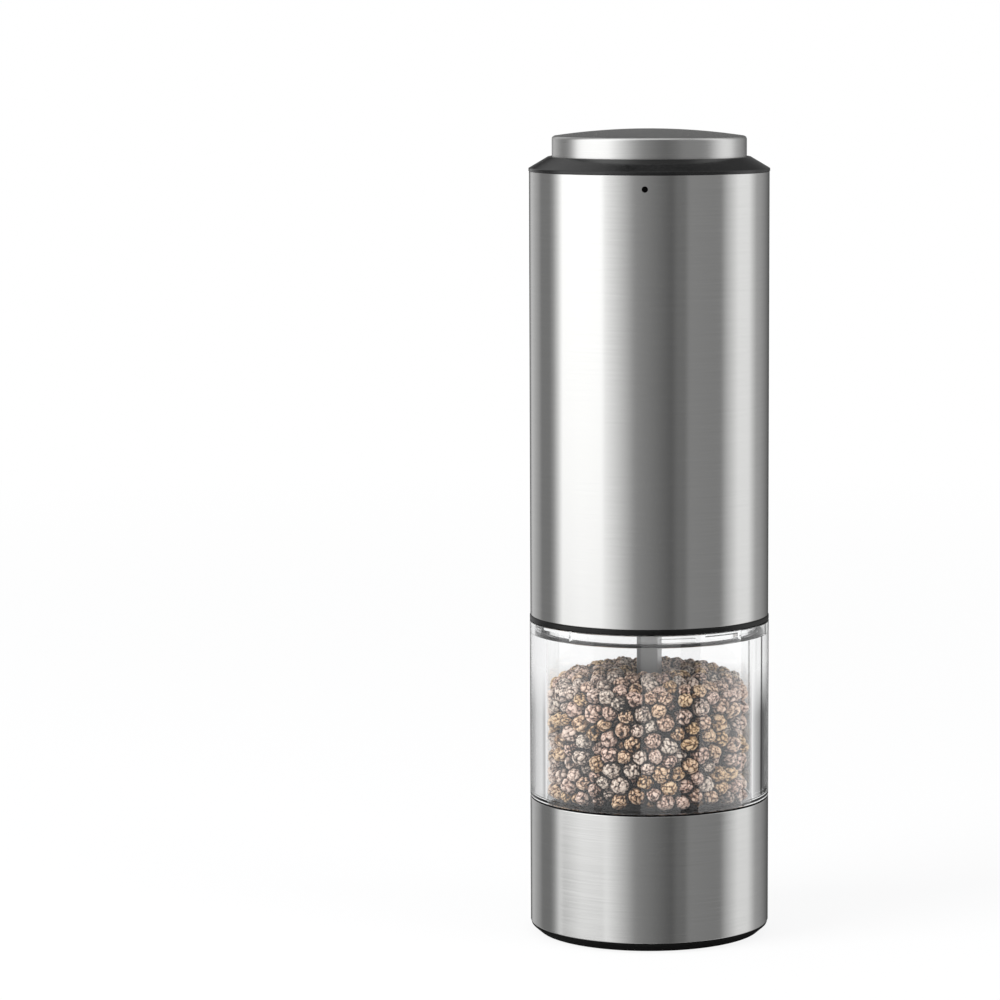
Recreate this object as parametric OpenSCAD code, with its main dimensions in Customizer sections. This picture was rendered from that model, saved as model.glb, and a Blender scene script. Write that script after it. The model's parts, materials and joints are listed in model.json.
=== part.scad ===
// Rechargeable pepper mill: a brushed steel motor head that turns to lock on a clear
// pepper jar, over a steel-sleeved base that holds a ceramic burr set.
// Origin: centre of the underside. +Z up, -Y is the front, where the charge light is.

/* [Jar] */
// Outer diameter of the jar and of the base
body_d = 63; // [62:0.5:70]
// Height of the jar's clear wall
jar_h = 46.7; // [46:0.5:60]
// Wall of the jar
jar_wall = 4.3; // [4:0.1:5]
// Depth of the wide mouth that takes the bayonet
mouth_depth = 3.2; // [3.2:0.1:4]
// Wall left around the mouth
mouth_wall = 1.2; // [1:0.1:1.4]
// Height of the thin seal on the mouth's step
mouth_seal_h = 0.5; // [0.4:0.05:0.6]
// Length of the spigot that drops into the base
jar_spigot_h = 6.2; // [4:0.2:8]
// Wall of that spigot
jar_spigot_t = 2; // [1.5:0.1:2.2]

/* [Base] */
// Height of the steel sleeve round the base
base_h = 33.4; // [33:0.2:38]
// Wall of both steel sleeves
sleeve_t = 0.6; // [0.4:0.1:0.8]
// Height of the tapered foot below the sleeve
foot_h = 2.4; // [2:0.1:3.5]
// Diameter of the foot where it stands
foot_d = 58.3; // [57:0.1:60]
// Height of the black line between sleeve and jar
gasket_h = 0.4; // [0.3:0.1:0.8]
// Thickness of the base's moulded walls
base_wall = 2; // [1.6:0.1:2.4]
// Height of the spigot that holds the foot in the base
cap_spigot_h = 7; // [5:0.5:8]
// Thickness of the foot's floor
cap_floor_t = 1.6; // [1.2:0.1:2]

/* [Motor head] */
// Step between the jar's outline and the head's steel tube
head_inset = 0.15; // [0.1:0.05:0.4]
// Length of the head's steel tube
tube_h = 116.3; // [116:0.5:130]
// Height of the black seal under the head
seal_h = 1.4; // [1:0.1:2]
// Thickness of the head's floor
floor_t = 2.5; // [2:0.1:3]
// Wall of the inner frame
frame_t = 1.8; // [1.2:0.1:2]
// Distance of the charge light below the top of the tube
light_drop = 3.6; // [3.4:0.1:3.8]
// Diameter of the charge light's hole
light_d = 1.6; // [1.2:0.1:2]

/* [Collar and button] */
// Height of the black collar
collar_h = 3.8; // [3.2:0.1:4.5]
// Height of the collar's upright edge
collar_edge_h = 0.8; // [0.6:0.1:1]
// Diameter of the collar's top rim
collar_top_d = 52.8; // [52.4:0.1:54]
// Diameter of the steel button
button_d = 50.8; // [49:0.1:51.2]
// Height of the button's side above the collar
button_rise = 5.4; // [4.5:0.1:7]
// Rise of the button's domed top
button_crown = 1.8; // [0.8:0.1:2.5]
// Radius of the button's top edge
button_edge_r = 0.9; // [0.7:0.1:1.2]
// Travel of the button
button_travel = 1.5; // [1:0.1:1.6]
// Wall of the button's steel cap
button_t = 0.5; // [0.4:0.1:0.6]

/* [Bayonet] */
// Number of lugs
lug_count = 4; // [3:1:4]
// Direction of one jar lug's stop, in degrees from the front
lug_phase = 50; // [0:5:85]
// Arc of each jar lug, in degrees
jar_lug_arc = 20; // [16:1:22]
// Arc of each head lug, in degrees
head_lug_arc = 18; // [14:1:18]
// Turn from open to locked, in degrees
lock_turn = 24; // [22:1:24]
// Height of each lug
lug_h = 1; // [0.8:0.05:1]

/* [Drive] */
// Width of the square drive shaft across its flats
shaft_w = 5.6; // [5.4:0.1:6.6]
// Length of the shaft inside the output socket
shaft_grip = 8.5; // [6:0.1:10]
// Direction of the shaft's front face, in degrees
shaft_turn = -10; // [-40:1:40]
// Gear module
gear_m = 0.7; // [0.66:0.02:0.72]
// Width of the planet gears
gear_w = 5; // [4:0.2:5]
// Diameter of the motor
motor_d = 24.4; // [22:0.2:24.6]
// Length of the motor
motor_h = 30.8; // [28:0.2:34]
// Gap between each cell and the motor
cell_motor_gap = 2; // [1.8:0.1:2.6]
// Length of each cell
cell_h = 65; // [60:0.5:65]

/* [Burrs] */
// Outer diameter of the fixed burr
stator_d = 30; // [29:0.2:31]
// Height of the burrs
burr_h = 12; // [11:0.2:12.4]
// Diameter of the turning burr at its foot
rotor_d = 24.6; // [24:0.1:25]
// Gap between the burrs at the foot, at the coarsest setting
burr_gap = 0.9; // [0.8:0.05:1.1]
// Rise of the burr for one turn of the adjuster
adjust_lead = 1.25; // [0.8:0.05:1.4]
// Diameter of the adjuster knob
knob_d = 21; // [18:0.5:23]
// Span of the bridge over the burrs
bridge_span = 33.4; // [32:0.2:34]
// Height of the bridge's hub above the jar's foot
hub_rise = 21.6; // [20:0.2:24]
// Height of the peppercorns above the jar's foot, at their peak
fill_h = 36.5; // [30:0.5:37]

/* [Hidden] */
$fn = 96;

// Clearances
run_gap = 0.08;   // radius, between pieces that turn or slide in each other
fit_gap = 0.05;   // between pieces that are pushed together
seat_gap = 0.05;  // height, between bodies that rest on each other
pass_gap = 0.3;   // between bodies that pass each other
part_gap = 0.02;  // between screw heads and what they hold
over = 1;         // how far a cut runs past the face it opens

// Gear train: two equal planetary stages in one ring
sun_z = 12;
planet_z = 15;
ring_z = sun_z + 2 * planet_z;
planet_count = 3;
pressure_angle = 20;
tooth_add = 0.7;       // of the module
tooth_ded = 0.95;      // of the module
flank_thin = 0.05;     // taken off each flank for backlash
flank_steps = 4;
planet_orbit = gear_m * (sun_z + planet_z) / 2;

// Radii of the shells
body_r = body_d / 2;
base_in_r = body_r - sleeve_t;
head_r = body_r - head_inset;
head_in_r = head_r - sleeve_t;
frame_r = head_in_r - fit_gap;
frame_in_r = frame_r - frame_t;
jar_in_r = body_r - jar_wall;
mouth_r = body_r - mouth_wall;
spigot_r = jar_in_r + jar_spigot_t;
edge_c = 0.15;         // chamfer on the sleeves' edges

// Heights from the table up
z_base1 = foot_h + base_h;
z_jar0 = z_base1 + gasket_h;
z_jar1 = z_jar0 + jar_h;
z_tube0 = z_jar1 + seal_h;
z_tube1 = z_tube0 + tube_h;
z_collar1 = z_tube1 + collar_h;
z_rim = z_collar1 + button_rise;
z_light = z_tube1 - light_drop;

// Base: floor, burr pocket, foot and retainer
floor_base_t = 3;
lip_t = 1.4;
throat_r = stator_d / 2 - 2.2;
pocket_r = stator_d / 2 + fit_gap;
pocket_t = 2.4;
skirt_in_r = base_in_r - fit_gap - base_wall;
z_stator1 = z_jar0 - lip_t;
z_stator0 = z_stator1 - burr_h;
retainer_t = 4;
spoke_t = 2.2;
spoke_w = 3.4;
z_retainer0 = z_stator0 - retainer_t;
outlet_r = rotor_d / 2 + burr_gap;
stator_slope = 0.42;   // radius lost for each unit of height in the grinding zone
grind_h = 5;
thread_r = 3.5;
hub_r = 5.5;
boss_r = 3.4;
screw_r = 1;           // small screws: shank
screw_head_r = 1.9;
screw_head_h = 1.2;
screw_slot_l = 2;
screw_slot_w = 0.4;
screw_slot_h = 0.6;
screw_hole_r = screw_r + 0.1;
screw_pilot_r = screw_r + fit_gap;
screw_sink_r = screw_head_r + 0.15;
retainer_screw_at = stator_d / 2 + 6.2;
retainer_screw_l = 8;
z_rotor0 = z_stator0 - 0.4;

// Adjuster: knob, pad
knob_h = 6;
z_knob1 = z_retainer0 - adjust_lead - pass_gap;
z_knob0 = z_knob1 - knob_h;
pad_t = 1;
pad_r = 3.3;
pad_pin_r = 1.2;
pad_pin_h = 2;
z_pad0 = z_rotor0 - seat_gap - pad_t;
knob_grips = 18;

// Bridge, bush and shaft
bridge_w = 10;
bridge_t = 3.2;
bridge_hub_r = 7.4;
bridge_hub_h = 13;
bridge_foot_reach = 6;
bridge_foot_t = 2;
bush_t = 1.6;
bush_flange_r = 7;
bush_flange_h = 1.4;
z_hub1 = z_jar0 + hub_rise;
z_hub0 = z_hub1 - bridge_hub_h;
bridge_screw_at = bridge_span / 2 + bridge_foot_reach / 2;
bridge_screw_l = 7;
shaft_corner_r = shaft_w * 0.69;
core_r = 5.3;
core_flange_r = 6.2;
core_flange_h = 1.2;
core_floor_t = 1.6;
z_core1 = z_rotor0 + burr_h + core_flange_h;
shaft_lead = 1.2;
lead_cut = 0.9;

// Head floor, output and gear levels
z_floor1 = z_tube0 + floor_t;
cover_t = 2;
z_sock0 = z_floor1 + pass_gap;
z_shaft1 = z_sock0 + shaft_grip;
z_shaft0 = z_rotor0 + core_floor_t;
z_sock1 = z_shaft1 + adjust_lead + pass_gap;
carrier_t = 2.8;
carrier_cap = 0.6;
gear_gap = 0.3;
pin_stand = 0.2;       // how far the pins stand out of the planets
z_out1 = z_sock1 + carrier_cap;
z_out0 = z_out1 - carrier_t;
z_pb0 = z_out1 + gear_gap;
z_pb1 = z_pb0 + gear_w;
stage_t = 2.4;
z_st0 = z_pb1 + gear_gap;
z_st1 = z_st0 + stage_t;
z_pa0 = z_st1 + gear_gap;
z_pa1 = z_pa0 + gear_w;
plate_t = 2.4;
z_plate0 = z_pa1 + pin_stand + gear_gap;
z_plate1 = z_plate0 + plate_t;
socket_bore_r = shaft_corner_r + 0.35;
socket_t = 1.75;
socket_r = socket_bore_r + socket_t;
drive_rib_w = 0.8;
drive_rib_r = shaft_w / 2 + 0.35;
drive_rib_lead = 1;
bush_wall = 1.5;
output_bush_r = socket_r + run_gap + bush_wall;
cover_hub_r = output_bush_r + fit_gap + 2;
z_cover_hub1 = z_out0 - gear_gap;
planet_pin_r = 1.5;
ring_r = gear_m * (ring_z / 2 + tooth_ded) + 1.95;
carrier_r = gear_m * (ring_z / 2 - tooth_add) - 0.8;
ear_at = ring_r + 1.3;
ear_r = 2.4;
ear_count = 4;
ear_a = 45;            // the ears stand between the cells
wiper_r = 8;
wiper_h = floor_t - 0.6;
wiper_rim_w = 2;
wiper_lip_t = 0.7;
floor_hole_r = 6;

// Motor
motor_boss_r = 3;
motor_boss_h = 1.4;
motor_can_t = 1;
motor_cap_h = 3;
motor_axle_r = 1;
motor_cap_plug = 1;
magnet_t = 2.2;
magnet_arc = 130;
magnet_end = 4;        // from each end of the can to the magnets
air_gap = 0.6;
armature_r = motor_d / 2 - motor_can_t - magnet_t - air_gap;
armature_end = 5;      // from the can's foot to the armature
winding_r = 3.4;
commutator_r = 3.2;
commutator_h = 4.4;
commutator_drop = 6;   // from the can's top to the commutator's foot
armature_drop = 8;     // from the can's top to the armature's top
axle_reach = 0.5;      // how far the axle runs into the end cap
armature_teeth = 3;
armature_tooth_arc = 100;
z_motor1 = z_plate1 + motor_h;
z_mcap1 = z_motor1 + motor_cap_h;

// Cells, ribs and board: each cell fills the room between the motor and the frame
cell_wall_gap = 0.5;
cell_d = frame_in_r - cell_wall_gap - cell_motor_gap - motor_d / 2;
cell_x = frame_in_r - cell_wall_gap - cell_d / 2;
cell_cap_h = 1.2;
cell_cap_r = 3.2;
z_cell0 = z_plate1 + 2 * fit_gap;
z_cell1 = z_cell0 + cell_h;
rib_t = 1.6;
rib_hole_r = 9;
shelf_w = 2.6;
z_lid0 = z_cell1 + 0.6;
tab_t = 0.3;
tab_r = 4;
wire_r = 0.6;
motor_wire_x = 4;
cell_wire_x = cell_x - 3;
board_t = 1.6;
chip_at = 20;
chip_w = 6;
chip_h = 1.2;
chip_a = [122, 238, 307];
usb_h = 3.2;
usb_w = 9;
usb_l = 7.4;
usb_shell_t = 0.4;
usb_tongue_t = 0.7;
usb_tongue_w = 6.4;
usb_room = 0.15;
usb_sink = 0.5;        // how far the socket's mouth lies behind the tube
usb_y0 = frame_in_r - usb_l + 1;
usb_reach = usb_l + 8;
z_board1 = z_light - usb_h / 2;
z_board0 = z_board1 - board_t;
board_r = frame_in_r - 0.4;
board_boss_x = 20;
board_boss_y = 10;
board_boss_r = 2.4;
board_screw_l = 6;
frame_boss_r = 3;
frame_boss_reach = 8;
frame_boss_y = frame_in_r - 2.6;
frame_boss_z = [z_floor1 + 15, z_plate1 + motor_h + 16];
frame_screw_short = 4;
motor_room = 0.15;
cell_room = 0.1;
rib_rise = 4;
rib_root = 0.5;        // how far a rib runs into the wall
floor_boss_at = frame_in_r - 1.4;
floor_boss_r = 2.6;
floor_boss_h = 8;
floor_boss_a = [40, 140, 220, 320];

// Collar, button and switch
frame_drop = 1.6;
z_web0 = z_tube1 - frame_drop;
web_t = 1.8;
z_web1 = z_web0 + web_t;
z_frame1 = z_web0 - fit_gap;
well_r = button_d / 2 + 0.25;
stem_r = 5.8;
guide_t = 1.5;
guide_r = stem_r + run_gap + guide_t;
core_drop = 3;
z_disc0 = z_rim - core_drop;
z_guide1 = z_disc0 - button_travel - pass_gap;
z_skirt0 = z_web1 + button_travel + pass_gap;
button_ring_t = 2;
hook_at = 16;
hook_t = 1.6;
hook_w = 2.8;
hook_barb = 1;
hook_barb_h = 1.2;
hook_count = 3;
hook_a = 60;
hook_room = 0.3;
barb_gap = 0.1;        // play of the barbs under the collar
core_inset = 0.2;
switch_w = 12;
switch_h = 2.9;
plunger_r = 1.7;
plunger_h = 2.5;
switch_floor_t = 0.5;
plunger_rest = 0.2;    // left under the plunger when it is pressed
z_plunger1 = z_board1 + switch_floor_t + plunger_rest + button_travel + plunger_h;
spring_wire_r = 0.45;
button_spring_r = guide_r + 1.3;

// ---- Shared shapes ----

// A tube or washer between two radii and two heights.
module ring(r_out, r_in, z0, z1) {
    difference() {
        translate([0, 0, z0]) cylinder(r = r_out, h = z1 - z0);
        translate([0, 0, z0 - 1]) cylinder(r = r_in, h = z1 - z0 + 2);
    }
}

// A rod standing at a point.
module rod(x, y, z0, z1, r) {
    translate([x, y, z0]) cylinder(r = r, h = z1 - z0, $fn = 32);
}

// Copies round the axis.
module around(count, start = 0) {
    for (i = [0 : count - 1]) rotate([0, 0, start + i * 360 / count]) children();
}

// A block of a ring, from angle a0 over an arc.
module ring_block(r_in, r_out, z0, z1, a0, arc) {
    rotate([0, 0, a0]) rotate_extrude(angle = arc)
        translate([r_in, z0]) square([r_out - r_in, z1 - z0]);
}

// A thin drawn tube with its outer edges broken.
module sleeve(r_out, z0, z1) {
    rotate_extrude() polygon([
        [r_out - sleeve_t, z0], [r_out - edge_c, z0], [r_out, z0 + edge_c],
        [r_out, z1 - edge_c], [r_out - edge_c, z1], [r_out - sleeve_t, z1]]);
}

// A pan head screw pointing up (dir = 1) or down (dir = -1) from under its head.
module screw(x, y, z_seat, length, dir) {
    translate([x, y, z_seat]) mirror([0, 0, dir > 0 ? 0 : 1]) {
        cylinder(r = screw_r, h = length, $fn = 32);
        difference() {
            translate([0, 0, -screw_head_h]) cylinder(r = screw_head_r, h = screw_head_h, $fn = 32);
            for (a = [0, 90]) rotate([0, 0, a])
                translate([-screw_slot_l / 2, -screw_slot_w / 2, -screw_head_h - over])
                    cube([screw_slot_l, screw_slot_w, screw_slot_h + over]);
        }
    }
}

// A coil spring's points: one ring of the wire for each step along the helix.
coil_sides = 8;
coil_steps = 16;
function coil_point(r, wire, turns, z0, z1, i, j) =
    let (n = turns * coil_steps,
         a = 360 * i / coil_steps,
         b = 360 * j / coil_sides,
         rr = r + wire * cos(b))
    [rr * cos(a), rr * sin(a), z0 + wire + (z1 - z0 - 2 * wire) * i / n + wire * sin(b)];

module coil(r, wire, turns, z0, z1) {
    n = turns * coil_steps;
    points = [for (i = [0 : n]) for (j = [0 : coil_sides - 1])
        coil_point(r, wire, turns, z0, z1, i, j)];
    walls = [for (i = [0 : n - 1]) for (j = [0 : coil_sides - 1])
        let (k = (j + 1) % coil_sides)
        [i * coil_sides + j, i * coil_sides + k, (i + 1) * coil_sides + k, (i + 1) * coil_sides + j]];
    first = [for (j = [coil_sides - 1 : -1 : 0]) j];
    last = [for (j = [0 : coil_sides - 1]) n * coil_sides + j];
    polyhedron(points, concat([first], walls, [last]), convexity = 10);
}

// ---- Gear teeth ----

function involute(a) = tan(a) * 180 / PI - a;
function flank_angle(z, r, thin) =
    let (rb = gear_m * z / 2 * cos(pressure_angle))
    90 / z - thin / (gear_m * z / 2) * 180 / PI + involute(pressure_angle)
        - involute(acos(min(1, rb / r)));
function polar(r, a) = [r * cos(a), r * sin(a)];

// Outline of z teeth between two radii; thin < 0 widens them, for the space in a ring.
function gear_outline(z, r_root, r_tip, thin) =
    let (rb = gear_m * z / 2 * cos(pressure_angle),
         r0 = max(rb, r_root))
    [for (t = [0 : z - 1]) for (s = [-1, 1]) for (k = [0 : flank_steps + 1])
        let (q = s < 0 ? k : flank_steps + 1 - k,
             r = q == 0 ? r_root : r0 + (r_tip - r0) * (q - 1) / flank_steps)
        if (q > 0 || r_root < r0 - 0.01)
            polar(r, 360 * t / z + s * flank_angle(z, max(r, r0), thin))];

module gear(z, z0, z1) {
    translate([0, 0, z0]) linear_extrude(z1 - z0)
        polygon(gear_outline(z, gear_m * (z / 2 - tooth_ded), gear_m * (z / 2 + tooth_add), flank_thin));
}

// Turn of a planet at angle a that meshes with a sun whose first tooth is at 0.
function planet_phase(a) = a + 180 - 180 / planet_z + a * sun_z / planet_z;

module planet(index, z0, z1) {
    a = index * 360 / planet_count;
    translate(polar(planet_orbit, a)) rotate([0, 0, planet_phase(a)]) difference() {
        gear(planet_z, z0, z1);
        translate([0, 0, z0 - 1]) cylinder(r = planet_pin_r + run_gap, h = z1 - z0 + 2, $fn = 32);
    }
}

module planet_pins(z0, z1) {
    around(planet_count) rod(planet_orbit, 0, z0, z1, planet_pin_r);
}

// ---- Base ----

foot_inset = 0.2;
foot_ring_w = 6;
foot_recess = 0.5;
cap_spigot_t = 1.4;
cap_cove = 1;

module base_cap() {
    spigot_out_r = skirt_in_r - run_gap;
    spigot_in_r = spigot_out_r - cap_spigot_t;
    z_spigot1 = foot_h + cap_spigot_h;
    color("#242526") rotate_extrude() polygon([
        [0, foot_recess], [foot_d / 2 - foot_ring_w, foot_recess],
        [foot_d / 2 - foot_ring_w - foot_recess, 0], [foot_d / 2, 0],
        [body_r - foot_inset, foot_h - seat_gap], [spigot_out_r, foot_h - seat_gap],
        [spigot_out_r, z_spigot1 - foot_recess], [spigot_out_r - foot_recess, z_spigot1],
        [spigot_in_r, z_spigot1], [spigot_in_r, cap_floor_t + cap_cove],
        [spigot_in_r - cap_cove, cap_floor_t], [0, cap_floor_t]]);
}

module base_sleeve() {
    color("#b9bbbd") sleeve(body_r, foot_h, z_base1);
}

throat_c = 0.8;        // chamfer round the hopper's throat
soft_c = 0.3;          // small chamfer
bridge_boss_r = 2.4;

module base_body() {
    rim_r = base_in_r - fit_gap;
    groove_in_r = jar_in_r - fit_gap;
    z_groove = z_jar0 - jar_spigot_h - fit_gap;
    z_floor0 = z_jar0 - floor_base_t;
    color("#2b2c2e") difference() {
        union() {
            rotate_extrude() polygon([
                [skirt_in_r, foot_h], [rim_r, foot_h], [rim_r, z_base1],
                [spigot_r + fit_gap, z_base1], [spigot_r + fit_gap, z_groove],
                [groove_in_r, z_groove], [groove_in_r, z_jar0 - soft_c], [groove_in_r - soft_c, z_jar0],
                [throat_r + throat_c, z_jar0], [throat_r, z_jar0 - throat_c], [throat_r, z_stator1],
                [pocket_r, z_stator1], [pocket_r, z_stator0], [pocket_r + pocket_t, z_stator0],
                [pocket_r + pocket_t, z_floor0], [groove_in_r - base_wall, z_floor0],
                [groove_in_r - base_wall, z_groove - base_wall], [skirt_in_r, z_groove - base_wall]]);
            around(3, 90) rod(retainer_screw_at, 0, z_stator0, z_floor0 + over, boss_r);
            around(2)
                rod(bridge_screw_at, 0, z_jar0 - bridge_screw_l - over, z_floor0 + over, bridge_boss_r);
        }
        around(3, 90)
            rod(retainer_screw_at, 0, z_stator0 - over, z_stator0 + retainer_screw_l, screw_pilot_r);
        around(2) rod(bridge_screw_at, 0, z_jar0 - bridge_screw_l, z_jar0 + over, screw_pilot_r);
    }
}

retainer_lug_t = 2.5;
retainer_lug_w = 4;

module burr_retainer() {
    z_lug = z_stator0 - retainer_lug_t;
    lug_in = outlet_r + retainer_lug_w / 4;
    color("#33353a") difference() {
        union() {
            ring(pocket_r + pocket_t, outlet_r, z_retainer0, z_stator0 - fit_gap);
            around(3, 90) rod(retainer_screw_at, 0, z_lug, z_stator0 - fit_gap, boss_r);
            around(3, 90) translate([lug_in, -retainer_lug_w / 2, z_lug])
                cube([retainer_screw_at - lug_in, retainer_lug_w, retainer_lug_t - fit_gap]);
            ring(hub_r, thread_r + run_gap, z_retainer0, z_retainer0 + spoke_t);
            around(3, 30) translate([(thread_r + hub_r) / 2, -spoke_w / 2, z_retainer0])
                cube([outlet_r + pocket_t / 2 - (thread_r + hub_r) / 2, spoke_w, spoke_t]);
        }
        around(3, 90) rod(retainer_screw_at, 0, z_retainer0 - over, z_stator0 + over, screw_hole_r);
    }
}

module retainer_screws() {
    color("#a8a9ab") around(3, 90)
        screw(retainer_screw_at, 0, z_stator0 - retainer_lug_t,
            retainer_lug_t + retainer_screw_l - pass_gap, 1);
}

knob_grip_r = 1.1;
knob_dish_w = 4;
knob_dish_h = 1;

module adjuster_knob() {
    color("#d8d9da") difference() {
        union() {
            difference() {
                translate([0, 0, z_knob0]) cylinder(r = knob_d / 2, h = knob_h);
                around(knob_grips)
                    rod((knob_d + knob_grip_r) / 2, 0, z_knob0 - over, z_knob1 + over, knob_grip_r);
                translate([0, 0, z_knob0 - over])
                    cylinder(r = knob_d / 2 - knob_dish_w, h = over + knob_dish_h);
            }
            translate([0, 0, z_knob1 - over])
                cylinder(r = thread_r, h = z_pad0 - seat_gap - z_knob1 + over);
        }
        translate([0, 0, z_pad0 - pad_pin_h - pass_gap])
            cylinder(r = pad_pin_r + run_gap, h = pad_pin_h + over);
    }
}

module thrust_pad() {
    color("#c9a24a") {
        translate([0, 0, z_pad0]) cylinder(r = pad_r, h = pad_t);
        translate([0, 0, z_pad0 - pad_pin_h]) cylinder(r = pad_pin_r, h = pad_pin_h + pad_t / 2);
    }
}

// ---- Burrs ----

burr_teeth = 12;
flute = 1.3;
rotor_rim = 1.5;

module outer_burr() {
    r_in = outlet_r - stator_slope * grind_h;
    color("#e9e7e2") difference() {
        rotate_extrude() polygon([
            [outlet_r, z_stator0], [stator_d / 2, z_stator0], [stator_d / 2, z_stator1 - fit_gap],
            [throat_r + seat_gap, z_stator1 - fit_gap], [r_in, z_stator0 + grind_h]]);
        around(burr_teeth) translate([r_in + flute / 3, 0, z_stator0 + burr_h / 2])
            rotate([20, 0, 0]) rotate([0, 0, 45])
                cube([flute, flute, 2 * burr_h], center = true);
    }
}

module inner_burr() {
    top_r = core_r + rotor_rim;
    waist_r = rotor_d / 2 - stator_slope * grind_h;
    z1 = z_rotor0 + burr_h;
    lean = atan((waist_r - top_r) / (burr_h - grind_h));
    color("#f1efea") difference() {
        rotate_extrude() polygon([
            [core_r + fit_gap, z_rotor0], [rotor_d / 2 - soft_c, z_rotor0],
            [rotor_d / 2, z_rotor0 + soft_c], [waist_r, z_rotor0 + grind_h], [top_r, z1],
            [core_r + fit_gap, z1]]);
        around(burr_teeth / 2)
            translate([(waist_r + top_r + flute) / 2, 0, z_rotor0 + 0.6 * burr_h])
            rotate([-30, -lean, 0]) rotate([0, 0, 45])
                cube([2 * flute, 2 * flute, 2 * burr_h], center = true);
    }
}

module burr_core() {
    side = shaft_w + 2 * fit_gap;
    color("#3c3e42") difference() {
        union() {
            translate([0, 0, z_rotor0]) cylinder(r = core_r, h = burr_h + core_flange_h / 2);
            translate([0, 0, z_core1 - core_flange_h + fit_gap])
                cylinder(r = core_flange_r, h = core_flange_h - fit_gap);
        }
        intersection() {
            rotate([0, 0, shaft_turn]) translate([-side / 2, -side / 2, z_shaft0 - fit_gap])
                cube([side, side, 2 * burr_h]);
            translate([0, 0, z_shaft0 - over]) cylinder(r = shaft_corner_r + fit_gap, h = 2 * burr_h);
        }
    }
}

module burr_spring() {
    color("#c4c6c8")
        coil(shaft_corner_r + 2 * spring_wire_r + run_gap, spring_wire_r, 5, z_core1, z_hub0);
}

// ---- Bridge and shaft ----

module bridge() {
    r_out = bridge_span / 2;
    z_spring = z_hub1 - r_out;
    color("#3a3c40") difference() {
        union() {
            translate([0, bridge_w / 2, 0]) rotate([90, 0, 0]) linear_extrude(bridge_w) difference() {
                union() {
                    translate([0, z_spring]) circle(r = r_out);
                    translate([-r_out, z_jar0]) square([2 * r_out, z_spring - z_jar0]);
                }
                translate([0, z_spring]) circle(r = r_out - bridge_t);
                translate([bridge_t - r_out, z_jar0 - over])
                    square([2 * (r_out - bridge_t), z_spring - z_jar0 + over]);
                translate([-2 * r_out, z_jar0 - 4 * r_out]) square(4 * r_out);
            }
            translate([0, 0, z_hub0]) cylinder(r = bridge_hub_r, h = bridge_hub_h);
            around(2) translate([r_out - bridge_t, -bridge_w / 2, z_jar0])
                cube([bridge_t + bridge_foot_reach, bridge_w, bridge_foot_t]);
        }
        translate([0, 0, z_hub0 - over])
            cylinder(r = shaft_corner_r + run_gap + bush_t + fit_gap, h = bridge_hub_h + 2 * over);
        around(2)
            rod(bridge_screw_at, 0, z_jar0 - over, z_jar0 + bridge_foot_t + over, screw_hole_r);
    }
}

module bridge_screws() {
    color("#a8a9ab") around(2)
        screw(bridge_screw_at, 0, z_jar0 + bridge_foot_t, bridge_screw_l, -1);
}

module shaft_bush() {
    bore_r = shaft_corner_r + run_gap;
    color("#eceff1") {
        ring(bore_r + bush_t, bore_r, z_hub0, z_hub1 + bush_flange_h / 2);
        ring(bush_flange_r, bore_r, z_hub1, z_hub1 + bush_flange_h);
    }
}

module drive_shaft() {
    color("#9c9ea1") intersection() {
        rotate([0, 0, shaft_turn]) translate([-shaft_w / 2, -shaft_w / 2, z_shaft0])
            cube([shaft_w, shaft_w, z_shaft1 - z_shaft0]);
        union() {
            translate([0, 0, z_shaft0]) cylinder(r = shaft_corner_r, h = z_shaft1 - shaft_lead - z_shaft0);
            translate([0, 0, z_shaft1 - shaft_lead])
                cylinder(r1 = shaft_corner_r, r2 = shaft_corner_r - lead_cut, h = shaft_lead);
        }
    }
}

fill_gap = 0.2;        // between the peppercorns and the jar
fill_edge_drop = 6;    // fall of the heap's top at the wall, at its shoulder and at the shaft
fill_shoulder_drop = 1.6;
fill_dip_drop = 2;
fill_shaft_gap = 1;
fill_r_out = jar_in_r - fill_gap;
fill_r_in = shaft_corner_r + fill_shaft_gap;
z_fill0 = z_jar0 + fill_gap;
z_fill1 = z_jar0 + fill_h;
heap_line = [[fill_r_in, z_fill1 - fill_dip_drop], [fill_r_out * 0.3, z_fill1 - fill_dip_drop * 0.3],
    [fill_r_out / 2, z_fill1], [fill_r_out * 0.75, z_fill1 - fill_shoulder_drop],
    [fill_r_out, z_fill1 - fill_edge_drop]];

// Lumps of peppercorns on the heap's face, a pitch apart, with gaps between them
lump_pitch = 8.7;
lump_r = 4.2;
lump_gap_h = 3.9;
lump_row_h = lump_pitch * sin(60);
core_sides = 12;

// A block of room that the bridge takes, centred on the axis.
module bridge_room(half_l, h) {
    translate([-half_l, -bridge_w / 2 - pass_gap, z_jar0 - over])
        cube([2 * half_l, bridge_w + 2 * pass_gap, h + over]);
}

// A ring of lumps with their centres at r and z. Every other ring is turned by half a pitch.
module lump_ring(r, z, row) {
    count = round(2 * PI * r / lump_pitch);
    for (i = [0 : count - 1])
        rotate([0, 0, (i + (row % 2) / 2) * 360 / count]) translate([r, 0, z]) sphere(r = lump_r);
}

// Lumps up the jar's wall, then inwards over the top of the heap.
module lumps() {
    r_wall = fill_r_out - lump_r;
    r_last = fill_r_in + pass_gap + lump_r;
    z_low = z_fill0 + pass_gap + lump_r;
    z_high = lookup(r_wall, heap_line) - lump_r;
    rows = round((z_high - z_low) / lump_row_h);
    rings = round((r_wall - r_last) / lump_row_h);
    for (i = [0 : rows])
        lump_ring(r_wall, z_low + (z_high - z_low) * i / rows, i);
    for (i = [1 : rings]) {
        r = r_wall + (r_last - r_wall) * i / rings;
        lump_ring(r, lookup(r, heap_line) - lump_r, rows + i);
    }
}

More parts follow.
